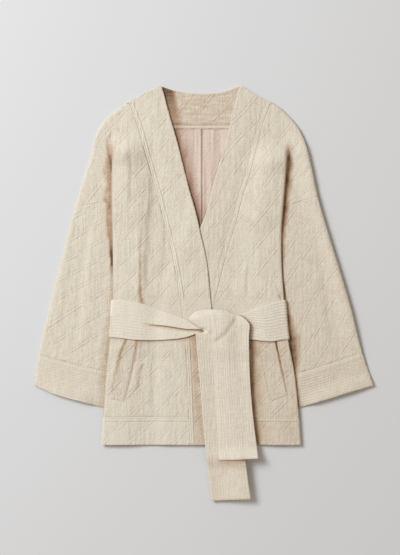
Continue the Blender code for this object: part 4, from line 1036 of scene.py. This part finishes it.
def add_neckband(side):
    top = shoulder_top(side)
    shoulder_y = along(NECK_CORNER_Y, top)
    down, up = along(top, HEM_Y), along(HEM_Y, NECK_CORNER_Y)
    seam = points(side.seam_x(down) - side.sign * SEAM, down)
    front = points(side.front_x(up), up)
    hem = points(along(seam[-1][0], front[0][0]), HEM_Y)
    ring = outline_of(points(side.outline_x(shoulder_y), shoulder_y), seam, hem, front)
    like = "front_" + side.name

    def from_seam(x, y):
        return side.sign * (side.seam_x(y) - x)

    def from_edge(x, y):
        return side.sign * (x - side.front_x(y))

    def inside(x, y):
        return ramp(from_seam(x, y), TOPSTITCH, TOPSTITCH + 3) * ramp(from_edge(x, y), 2, 6)

    def relief(x, y):
        away, edge = from_seam(x, y), from_edge(x, y)
        value = quilted(like, x, y, 2, inside(x, y)) + 0.5 * MM * bell(edge, 5 * MM)
        if side is RIGHT:
            value = value + 0.9 * MM * (ridge(away, 1, TOPSTITCH) - line_at(away, 0.5 * TOPSTITCH))
            value = value - 0.6 * MM * line_at(away, TOPSTITCH + 0.8, 1.2)
        else:
            value = value - 0.5 * MM * line_at(away, TOPSTITCH, 1.0)
            value = value * (1 - ramp(RIGHT.front_x(y) - x, -3, 1))
        return value * ramp(away, -1, 1.2) * ramp(edge, -0.6, 1.2) * (1 - under_belt(x, y))

    # Darker stitches; on the right band a painted highlight on the two rolls and painted shadow of the tails;
    # the left band a little darker all over.
    def painted_shade_and_seams(x, y):
        away = from_seam(x, y)
        stitches = lines_at(away, (TOPSTITCH + 0.6, 1.2), (0, 1.4))
        if side is LEFT:
            return 0.12 * stitches + 0.04
        return 0.15 * stitches - 0.22 * lines_at(away, *CRESTS) + cast(x, y)

    fine = grid(ring, FINE)
    rows = [fine[from_seam(*fine.T) > (TOPSTITCH + 3) * MM]]
    rows += [points(side.seam_x(down) - side.sign * away, down) for away in BESIDE_SEAM]
    sew("neckband_" + side.name, "band", plate(side.base, BAND_WALL, relief), ring, np.vstack(rows),
        painted_shade_and_seams=painted_shade_and_seams, stitch=stitching(like, inside), rim_shade=0.9 if side is RIGHT else 0)


def add_neck():
    """The back stretch of the neckband, its facing, the piping and the lining."""
    up = along(NECK_SEAM_Y + SEAM, NECK_CORNER_Y)
    left, right = points(LEFT.outline_x(up), up), points(RIGHT.outline_x(up), up)
    x = along(left[-1][0], right[-1][0])
    ring = between(left, right, points(x, neck_top_y(x))[1:-1])
    sew("neckband_back", "band", plate(lambda x, y: 0 * x, WALL), ring, grid(ring, FINE * 2))

    def on_back(x, y):
        return middle(x, y) - LAYER_GAP / 2 + CLEAR

    def strip(top_y, bottom_y):
        rows = along(top_y, bottom_y)
        return points(LEFT.front_x(rows) + 12 * MM, rows), points(RIGHT.front_x(rows) - 12 * MM, rows)

    x = along(RIGHT.front_x(FACING_TOP_Y) - 8 * MM, LEFT.front_x(FACING_TOP_Y) + 8 * MM)
    near, far = strip(FACING_TOP_Y, PIPING_TOP_Y + SEAM)
    base = points(along(near[-1][0], far[-1][0]), PIPING_TOP_Y + SEAM)
    ring = outline_of(near, base, far[::-1], points(x, neck_top_y(x) - 2 * MM)[1:-1])

    def facing_relief(x, y):
        from_top = neck_top_y(x) - y
        rows = noise(y, x, 2.7, 33, 7) + 0.7 * noise(y, x, 5.5, 34, 4)
        stitches = line_at(y - PIPING_TOP_Y, 4) + line_at(from_top, 9)
        return (0.38 * MM * rows + 1.0 * MM + 0.5 * crinkle(x, y, 4) - 0.5 * MM * stitches
                + 0.9 * MM * line_at(from_top, 0, 4))

    # Painted shade where the facing lies under the front edge and along that edge, darker crinkled rows and a
    # stitched line, and the facing a little darker all over.
    def facing_painted_shade_and_rows(x, y):
        away, up = x - RIGHT.front_x(y), rise(y, PIPING_TOP_Y, NECK_CORNER_Y)
        turned = (0.85 + 0.75 * up) * (1 - rise(away, (9 + 9 * up) * MM, 30 * MM))
        rows = 0.3 * line_at(y - PIPING_TOP_Y, 3, 2) + 0.2 * noise(y, x, 2.7, 33, 7)
        return 0.32 + rows + turned + 0.2 * line_at(away, 0, 6)

    sew("neck_facing", "band", plate(on_back, LINING_WALL, facing_relief), ring, grid(ring, FINER),
        painted_shade_and_seams=facing_painted_shade_and_rows, stitch=stitching("front_left"))

    def round_top(x, y):
        half = (PIPING_TOP_Y - PIPING_BOTTOM_Y) / 2
        return 1.3 * MM * (1 - ((y - PIPING_BOTTOM_Y - half) / half) ** 2) + 0.15 * MM * noise(x, y, 3, 2)

    ring = between(*strip(PIPING_TOP_Y - SEAM, PIPING_BOTTOM_Y + SEAM))
    # The piping has painted shadow from the front edge over it.
    piping = sew("lining_piping", "piping", plate(on_back, LINING_WALL, round_top), ring,
                 grid(ring, 1.4 * MM), (), painted_shade_and_seams=lambda x, y: 0.6 * opening_shade(x, y))

    def pleats(x, y):
        """The centre seam with a tuck on each side, and the lengthwise crinkle of the lining."""
        centre = x + 5 * MM
        crinkled = 0.75 * MM * (noise(x, y, 5.2, 8, 16) + 0.55 * noise(x, y, 9.5, 9, 9))
        return 1.1 * MM + crinkled + 1.8 * MM * ramp(centre, -9, -1.5) * (1 - ramp(centre, -0.8, 0.8))

    # Darker seams and crinkles, and painted shadow beside the front edges.
    def lining_seams_and_painted_shade(x, y):
        seams = 0.75 * line_at(x + 5 * MM, 0.8, 1.6) + 0.5 * line_at(y - PIPING_BOTTOM_Y, 0, 2.2)
        return seams - 0.16 * noise(x, y, 5.2, 8, 16) + opening_shade(x, y)

    rows = along(PIPING_BOTTOM_Y - SEAM, LINING_BOTTOM_Y)
    near = points(np.maximum(LEFT.front_x(rows), RIGHT.front_x(rows)) + 10 * MM, rows)
    far = points(np.minimum(LEFT.front_x(rows), RIGHT.front_x(rows)) - 10 * MM, rows)
    ring = outline_of(near, far[::-1], points(along(far[0][0], near[0][0]), PIPING_BOTTOM_Y - SEAM))
    sew("back_lining", "lining", plate(on_back, LINING_WALL, pleats), ring, grid(ring, FINER),
        painted_shade_and_seams=lining_seams_and_painted_shade, stitch=stitching("front_left"))


def add_hem(side):
    rows = along(HEM_SEAM_Y - SEAM, HEM_Y)
    ring = between(signed(side, side.start(rows) + TURN_LENGTH / 2, rows),
                   points(side.seam_x(rows) + side.sign * SEAM, rows))
    like = "front_" + side.name

    def inside(u, y):
        return ramp(HEM_SEAM_Y - y, TOPSTITCH, TOPSTITCH + 3)

    def relief(u, y):
        """The quilting fainter, with the seam's two lines of stitches at the top of the band."""
        down, up = HEM_SEAM_Y - y, y - HEM_Y
        value = quilted(like, u, y, 3, inside(u, y) * ramp(up, 1, 5)) + 0.5 * MM * bell(up, 4 * MM)
        value = value + 0.9 * MM * (ridge(down, 1, TOPSTITCH) - line_at(down, 0.5 * TOPSTITCH))
        value = value - 0.5 * MM * line_at(down, TOPSTITCH + 0.8)
        value = value * ramp(down, -1, 1.2) * ramp(up, -0.6, 1.4)
        flat = ramp(side.start(y) - side.sign * u, -2, 4) * ramp(side.sign * (u - side.seam_x(y)), -1, 1.5)
        return value * flat * (1 - under_belt(u, y))

    # Darker stitches, a painted highlight on the two rolls, painted shadow of the tails, and the left band a
    # little darker than the right.
    def painted_shade_and_seams(u, y):
        down = HEM_SEAM_Y - y
        stitches = lines_at(down, (TOPSTITCH + 0.5,), (0, 1.4))
        own = 0.06 if side is LEFT else -0.08
        return 0.2 * stitches - 0.22 * lines_at(down, *CRESTS) + cast(u, y) + own

    fine = grid(ring, FINE)
    across = along(ring[:, 0].min(), ring[:, 0].max())
    outer = [fine[HEM_SEAM_Y - fine[:, 1] > (TOPSTITCH + 3) * MM]]
    outer += [points(across, HEM_SEAM_Y - row) for row in BESIDE_SEAM]
    turn = [signed(side, side.start(rows[1:-1]) + TURN_LENGTH * k / 8, rows[1:-1]) for k in range(4)]
    sew("hem_band_front_" + side.name, "band", front_place(side, relief), ring, np.vstack(outer), None, turn,
        painted_shade_and_seams, stitch=stitching(like, lambda u, y: 0.8 * inside(u, y)))


def add_hem_back():
    left, right = (column(side, side.start, HEM_SEAM_Y - SEAM, HEM_Y) for side in (LEFT, RIGHT))
    sew("hem_band_back", "band", back_place, between(left, right))


def tube_end(side, level, inside):
    """One open end of a tube unrolled: from its inner edge out on top, round, and back below."""
    tip = side.outline(CUFF_TOP_Y)
    for _ in range(8):
        tip = float(side.tube_tip(level(tip)))
    out, back = along(inside, tip), along(tip, inside)[1:]
    turn = tip + TUBE_TURN * np.arange(1, 5) / 5
    p = np.concatenate([out, turn, 2 * side.tube_tip(level(back)) + TUBE_TURN - back])
    return signed(side, p, level(np.concatenate([out, 0 * turn + tip, back])))


def add_tube(name, side, slot, top_y, bottom_y, inside):
    """A sleeve or its cuff, between two levels given as functions of the distance out."""
    is_cuff = slot == "band"
    top, bottom = tube_end(side, top_y, inside[0]), tube_end(side, bottom_y, inside[1])
    first, last = float(top[0][1]), float(bottom[0][1])
    rows = along(first, last)[1:-1]
    inner_x = np.interp(rows, [last, first], inside[::-1])
    far = signed(side, 2 * side.tube_tip(rows) + TUBE_TURN - inner_x, rows)
    ring = outline_of(top, far, bottom[::-1], signed(side, inner_x, rows)[::-1])

    def seen(u, y):
        p = side.sign * u
        across = ramp(p - side.edge(y), 0, 7) * ramp(side.tube_tip(y) - p, -2, 4)
        if is_cuff:
            return across * ramp(y - side.cuff_end_y(p), -0.5, 1.5)
        return across * (ramp(side.arm_y(p) - y, 0, 2.5) * ramp(y - side.cuff_seam_y(p), 0, 2.5))

    def from_seam(u, y):
        """Distance below the cuff's seam, and where the ribs below it show."""
        depth = side.cuff_seam_y(side.sign * u) - y
        return depth, ramp(depth, TOPSTITCH, TOPSTITCH + 3)

    def relief(u, y):
        if not is_cuff:
            inner_seam = line_at(side.outline(y) - side.sign * u, 15, 1.6)
            return (quilted(name, u, y, 6) + folds(name, u, y)[0] - 0.4 * MM * inner_seam) * seen(u, y)
        depth, ribbed = from_seam(u, y)
        ribs = wave((depth - TOPSTITCH * MM) / CUFF_PITCH) * ribbed * (0.55 + 0.35 * noise(u, y, 30, 61))
        value = 1.0 * MM * ribs + SINK + 0.9 * crinkle(u, y, 7)
        value = value + 0.9 * MM * ridge(depth, 1, TOPSTITCH) - 0.8 * MM * line_at(depth, TOPSTITCH * 0.5)
        return value * seen(u, y) * ramp(depth, -1, 1.2)

    # Painted shade beside the body's edge and on the outline, and the left sleeve and cuff painted a little
    # darker; on a cuff also painted shade in the grooves between the ribs, a painted highlight on the two
    # rolls, and darker stitches.
    def painted_shade_and_seams(u, y):
        close = side_shade(side, u, y) + (0.1 if side is LEFT else 0)
        close = close + 0.12 * ramp(side.sign * u - side.tube_tip(y), -3, 1)
        if not is_cuff:
            return close
        depth, ribbed = from_seam(u, y)
        grooves = (1 - wave((depth - TOPSTITCH * MM) / CUFF_PITCH)) * ribbed
        stitches = lines_at(depth, (TOPSTITCH * 0.55,), (0, 1.4), (TOPSTITCH + 1,))
        return 0.2 * grooves + 0.2 * stitches - 0.25 * lines_at(depth, (2.4, 1.4), (7.6, 1.4)) + close - 0.06

    plain, fine = grid(ring), grid(ring, FINE)
    if is_cuff:
        out = along(float(side.edge(CUFF_TOP_Y)) - 6 * MM, np.abs(ring[:, 0]).max(), 5 * MM)
        fine = np.vstack([signed(side, out, side.cuff_seam_y(out) - CUFF_PITCH * k / 6)
                          for k in range(1, 96)])
    p = side.sign * fine[:, 0]
    fine = fine[(p > side.edge(fine[:, 1]) - 4 * MM) & (p < side.tube_tip(fine[:, 1]))]
    p = side.sign * plain[:, 0]
    hidden = (p > side.tube_tip(plain[:, 1]) - 4 * MM) | (p < side.edge(plain[:, 1]) - 4 * MM)
    y = along(ring[:, 1].max(), ring[:, 1].min())
    lines = []
    for k in range(6):
        run = signed(side, side.tube_tip(y) + TUBE_TURN * k / 5, y)
        lines.append(run[within(run, ring) & (edge_distance(run, ring) > 1.5 * MM)])
    sew(name, slot, tube_place(side, relief), ring, np.vstack([fine, plain[hidden]]), plain, lines, painted_shade_and_seams,
        stitch=None if is_cuff else stitching(name, seen))


def add_sleeve(side):
    inside = [float(side.edge(y) - TUCK) for y in (side.underarm, CUFF_TOP_Y, CUFF_BOTTOM_Y)]
    add_tube("sleeve_" + side.name, side, "shell", lambda out: side.arm_y(out) - ARM_SEAM,
             lambda out: side.cuff_seam_y(out) + SEAM, inside[:2])
    add_tube("cuff_" + side.name, side, "band", lambda out: side.cuff_seam_y(out) - SEAM, side.cuff_end_y,
             inside[1:])


def add_welt(side):
    rows = WELTS[side.name]
    mouth = rows[:3] if side is RIGHT else rows[-3:]
    corners = np.array(rows, float) * MM
    ring = np.vstack([np.linspace(a, b, 14)[:-1] for a, b in zip(corners, np.roll(corners, -1, axis=0))])
    like = "front_" + side.name

    def lifted(x, y):
        """1 at the pocket's mouth, 0 at the other edges, where the welt is sewn down."""
        return bell(to_line(x, y, mouth)[0], 9 * MM)

    def bottom(x, y):
        return side.base(x, y) + WALL + CLEAR + 1.2 * MM * lifted(x, y)

    def relief(x, y):
        rim = ramp(edge_distance(np.column_stack([x, y]), ring), -0.4, 3)
        return rim * (quilted(like, x, y, 1) + 0.3 * MM * lifted(x, y))

    # Painted shade in the creases and of the tails; the right welt a little darker all over.
    def painted_shade_and_seams(x, y):
        return creases(x, y)[1] + cast(x, y) + (0.12 if side is RIGHT else 0)

    sew("pocket_welt_" + side.name, "shell", plate(bottom, WELT_WALL, relief), ring, grid(ring, FINE),
        painted_shade_and_seams=painted_shade_and_seams, stitch=stitching(like))


def add_belt(side):
    """The stretch across one front, and round the body's edge."""
    table = BELT_STRETCHES[side.name]
    top_y, bottom_y = curve(table, 1), curve(table, 2)

    def level(out, share):
        return top_y(out) + (bottom_y(out) - top_y(out)) * share

    def share_of(out, y):
        return np.clip((top_y(out) - y) / np.maximum(top_y(out) - bottom_y(out), 5 * MM), 0, 1)

    def relief(out, y):
        share = share_of(out, y)
        if side is RIGHT:
            away = to_line(-out, y, BELT_CREASE)[0]
            near_knot = ramp(-out, -150, -90)
            plump = 2.4 * MM * near_knot * np.where(away < 0, bell(away, 16 * MM), 0) * ramp(-away, -1, 1)
            lower = 1.6 * MM * near_knot * np.where(away > 0, 1 - bell(away, 7 * MM), 0)
            ribbed = 0.25 + 0.75 * np.maximum(ramp(away, 0, 4), 0.35 * ramp(out, 100, 170))
            value = 0.45 * MM * wave(share * STRETCH_RIBS) * ribbed + plump + lower
            value = value - 0.5 * MM * line_at(away, 0.6) + 3.5 * MM * ramp(-out, -16, -2)
        else:
            bunched = share ** (1 - 0.4 * ramp(-out, -140, -84))
            gather = ramp(-out, -130, -84)
            uneven = 0.6 + 0.4 * noise(share * 0.1, out, 16, 4, 3)
            value = (1.15 + 0.9 * gather) * MM * wave(bunched * STRETCH_RIBS) * uneven
            value = value + 0.9 * MM * gather * noise(share * 0.1, out, 9, 4, 6)
        rim = rise(np.minimum(share, 1 - share), -0.012, 0.02)
        return rim * (0.9 * MM + value + 0.8 * MM * noise(out, y, 34, 12) + 0.4 * crinkle(out, y, 10))

    # Painted shade in the grooves between the ribs; on the left stretch painted shadow of the upper tail; on
    # the right one painted shade in its crease and at its tip by the knot, and the stretch over the front
    # darker than its turn.
    def painted_shade_and_seams(q, y):
        out = side.start(y) + side.sign * q
        groove = 1 - wave(share_of(out, y) * STRETCH_RIBS)
        if side is LEFT:
            return 0.16 * groove + np.exp(-np.maximum(out - up_right(y), 0) / (4.5 * MM)) - 0.04
        groove = groove + 4 * ramp(-q, -1, 2) - 0.6
        away = to_line(-out, y, BELT_CREASE)[0]
        crease = line_at(away, 0.8, 1.7) * (away > -1 * MM) + 0.3 * line_at(away, 3, 4)
        return (0.09 * groove * ramp(away, -4, 4) + 1.25 * ramp(-out, -145, -90) * crease
                + 0.5 * ramp(-out, -26, 0) - 0.03)

    edge = float(side.start(BELT_BACK_TOP_Y))
    flat = along(table[0][0] * MM + 2 * MM, edge - 3 * MM, 3.5 * MM)
    turn = np.linspace(0, np.pi, 13) * BELT_AROUND

    def run(share):
        y = level(flat, share)
        return signed(side, np.concatenate([flat - side.start(y), turn]),
                      np.concatenate([y, level(np.full_like(turn, edge), share)]))

    rows = [run(share) for share in np.linspace(0, 1, 6 * STRETCH_RIBS + 1)]
    outer = np.vstack([row[1:len(flat)] for row in rows[1:-1]])
    inner = np.vstack([run(share)[1:len(flat):3] for share in np.linspace(0.08, 0.92, 10)])
    down = level(np.full(40, edge), np.linspace(0.03, 0.97, 40))
    lines = [signed(side, np.full(40, q), down) for q in turn[:-1]]
    sew("belt_" + side.name, "belt", belt_place(side, relief), strip_ring(rows), outer, inner, lines, painted_shade_and_seams,
        rim_shade=0.7)


def add_belt_back():
    rows = along(BELT_BACK_TOP_Y, BELT_BACK_BOTTOM_Y)
    left, right = (signed(side, side.start(rows) - CLEAR, rows) for side in (LEFT, RIGHT))
    sew("belt_back", "belt", plate(lambda x, y: middle(x, y) - TIP - BELT_CLEAR - BELT_WALL, BELT_WALL),
        between(left, right))


def round_off(corners):
    """The outline with each corner cut twice, and two points more on each run."""
    for _ in range(2):
        ahead = np.roll(corners, -1, axis=0)
        cut = [corners * 0.75 + ahead * 0.25, corners * 0.25 + ahead * 0.75]
        corners = np.column_stack(cut).reshape(-1, 2)
    return np.vstack([np.linspace(a, b, 4)[:-1] for a, b in zip(corners, np.roll(corners, -1, axis=0))])


knot_ring = round_off(np.array(KNOT_OUTLINE, float) * MM)


def lower_base(x, y):
    """Underside of the lower tail: on the coat, down from the knot, and off the hem to the floor."""
    on_coat = rise(y, HEM_Y - SLOPE - BRIDGE, HEM_Y - BRIDGE)
    from_knot = (BELT_WALL + RIB + 3 * CLEAR) * ramp(y - TAIL_DOWN_Y, -160, -15) * (1 - ramp(y, -90, -84))
    raised = (7 + 12 * ramp(x - low_left(y), 10, 88)) * MM * (1 - rise(y, HEM_Y - 45 * MM, HEM_Y))
    return (front_top(x, y) + 3 * CLEAR) * on_coat + from_knot + raised


def knot_base(x, y):
    return front_top(x, y) + BELT_WALL + RIB + 4 * CLEAR


def knot_top(x, y):
    place = np.column_stack([x, y])
    inside = np.where(within(place, knot_ring), edge_distance(place, knot_ring), 0)
    return KNOT_HEIGHT * np.sqrt(ramp(inside, -2, 20))


def upper_base(x, y):
    """Underside of the upper tail: over the knot, then on the lower tail and the coat."""
    inside = np.minimum(np.minimum(x - low_left(y), low_right(y) - x), TAIL_LOWER_TOP_Y - y)
    on_tail = lower_base(x, y) + (BELT_WALL + RIB + 4 * CLEAR) * covers(inside)
    height = knot_top(np.minimum(x, 70 * MM), np.maximum(y, -64 * MM))
    on_knot = knot_base(x, y) + WALL + height + 4 * CLEAR
    share = ramp(y - KNOT_FOOT_Y, -100, 16)
    from_left = x - up_left(y)
    merged = 2.3 * MM * (1 - ramp(from_left, 0, 34))
    raised = 4.0 * MM * ramp(from_left, 30, 84) * (1 - share)
    return on_tail + (np.maximum(on_knot, on_tail) - on_tail) * share - merged + raised


def add_tail(name, left, right, base, y):
    over = name == "upper"

    def line(share):
        slant = 5.5 * MM * (share - 0.5) * rise(-y, -y[-1] - 60 * MM, -y[-1])
        return points(left(y) + (right(y) - left(y)) * share, y + slant)

    def share_of(x, y):
        return np.clip((x - left(y)) / (right(y) - left(y)), 0, 1)

    def ribs(x, y):
        return wave((share_of(x, y) + 0.012 * noise(x, y, 45, 3, 3)) * TAIL_RIBS)

    def crease_at(x, y, at, width):
        """The crease of the tail where it comes over the knot."""
        away, share = to_line(x, y, KNOT_CREASE)
        return line_at(away, at, width) * rise(share, 0.02, 0.2) * (1 - rise(share, 0.8, 1))

    def relief(x, y):
        share = share_of(x, y)
        value = 0.5 * MM * ribs(x, y) * (0.55 + 0.4 * noise(x, y, 14, 6, 8))
        value = value + 0.5 * crinkle(x, y, 11) + 0.5 * MM * noise(x, y, 40, 15, 2.5)
        if over:
            value = value - 1.4 * MM * crease_at(x, y, 0, 5.5)
        rim = rise(1 - share, -0.01, 0.018) * rise(share, -0.01, 0.11 if over else 0.018)
        return (0.9 * MM + value) * rim

    # Painted shade in the grooves between the ribs and in the crease over the knot; on the lower tail painted
    # shadow below the upper tail's end, and the lower tail a little darker all over.
    def painted_shade_and_seams(x, y):
        grooves = 0.08 * (1 - ribs(x, y))
        if over:
            return grooves + 0.32 * crease_at(x, y, 1.5, 5) + 0.05
        below_upper = np.exp(-np.maximum(-367 * MM - y, 0) / (7 * MM)) * ramp(x, 28, 36)
        return grooves + 0.9 * below_upper + 0.13

    rows = [line(share) for share in np.linspace(0, 1, 6 * TAIL_RIBS + 1)]
    outer = np.vstack([row[1:-1] for row in rows[1:-1]])
    inner = np.vstack([line(share)[1:-1:3] for share in np.linspace(0.08, 0.92, 9)])
    sew("belt_tail_" + name, "belt", plate(base, BELT_WALL, relief), strip_ring(rows), outer, inner,
        painted_shade_and_seams=painted_shade_and_seams, rim_shade=0.8)


def knot_relief(x, y):
    """The loop of the knot: a plump lobe at its left with gathers into the middle."""
    to_rim = edge_distance(np.column_stack([x, y]), knot_ring)
    beside = 1.0 * MM * ramp(x, -24, 8) * (1 - ramp(x - up_left(y), 1, 4))
    valley = 6 * MM * bell(x + 1 * MM, 9 * MM) * bell(y + 83 * MM, 4.5 * MM)
    foot = ramp(-y, 80, 95) * (x < 24 * MM)
    tail_top = lower_base(x, y) + BELT_WALL - knot_base(x, y) - WALL
    dx, dy = x - 6 * MM, y + 66 * MM
    gathers = 0.25 * MM * np.cos(np.arctan2(dy, dx) * 15 + 0.6) * ramp(np.hypot(dx, dy), 8, 20)
    lobe = knot_top(x, y) + (gathers * ramp(-x, -16, 4) + 0.5 * crinkle(x, y, 13)) * ramp(to_rim, 0, 8)
    lobe = lobe + beside * ramp(to_rim, 0, 12) - valley
    return np.maximum(lobe + (tail_top - lobe) * foot, 0.3 * MM - WALL)


add_back()
for add in (add_front, add_neckband):
    for one in (RIGHT, LEFT):
        add(one)
add_neck()
for one in (RIGHT, LEFT):
    add_hem(one)
add_hem_back()
for add in (add_sleeve, add_welt, add_belt):
    for one in (RIGHT, LEFT):
        add(one)
add_belt_back()
add_tail("lower", low_left, low_right, lower_base, along(-85 * MM, -455 * MM))
add_tail("upper", up_left, up_right, upper_base, along(-42 * MM, -365 * MM, 3.4 * MM))
sew("belt_knot", "belt", plate(knot_base, WALL, knot_relief), knot_ring, grid(knot_ring, 2 * MM),
    rim_shade=0.6)


# Floor, light and camera

def show(name, data, place=(0, 0, 0)):
    made = bpy.data.objects.new(name, data)
    made.location = place
    bpy.context.scene.collection.objects.link(made)
    return made


mesh = bpy.data.meshes.new("floor")
corners = [(x * FLOOR_REACH, y * FLOOR_REACH, -CLEAR) for x, y in ((-1, -1), (1, -1), (1, 1), (-1, 1))]
mesh.from_pydata(corners, [], [(0, 1, 2, 3)])
plain = bpy.data.materials.new("floor")
plain.use_nodes = True
for key, value in (("Base Color", (*FLOOR, 1)), ("Roughness", 0.95), ("Specular IOR Level", 0.1)):
    plain.node_tree.nodes["Principled BSDF"].inputs[key].default_value = value
mesh.materials.append(plain)
show("floor", mesh)

light = bpy.data.lights.new("key", "AREA")
light.size = KEY_SIZE
light.energy = KEY_POWER
light.color = KEY_COLOUR
show("key", light, KEY_PLACE).rotation_euler = (-Vector(KEY_PLACE)).to_track_quat("-Z", "Y").to_euler()

world = bpy.data.worlds.new("studio")
world.use_nodes = True
world.node_tree.nodes["Background"].inputs["Color"].default_value = WORLD_COLOUR
world.node_tree.nodes["Background"].inputs["Strength"].default_value = WORLD_LIGHT
bpy.context.scene.world = world

camera = bpy.data.cameras.new("camera")
camera.sensor_fit = "AUTO"
camera.sensor_width = SENSOR
camera.lens = SENSOR * CAMERA_HEIGHT / VIEW_HEIGHT
bpy.context.scene.camera = show("camera", camera, (*VIEW_CENTRE, CAMERA_HEIGHT + 8 * MM))
bpy.context.scene.view_settings.view_transform = "Standard"
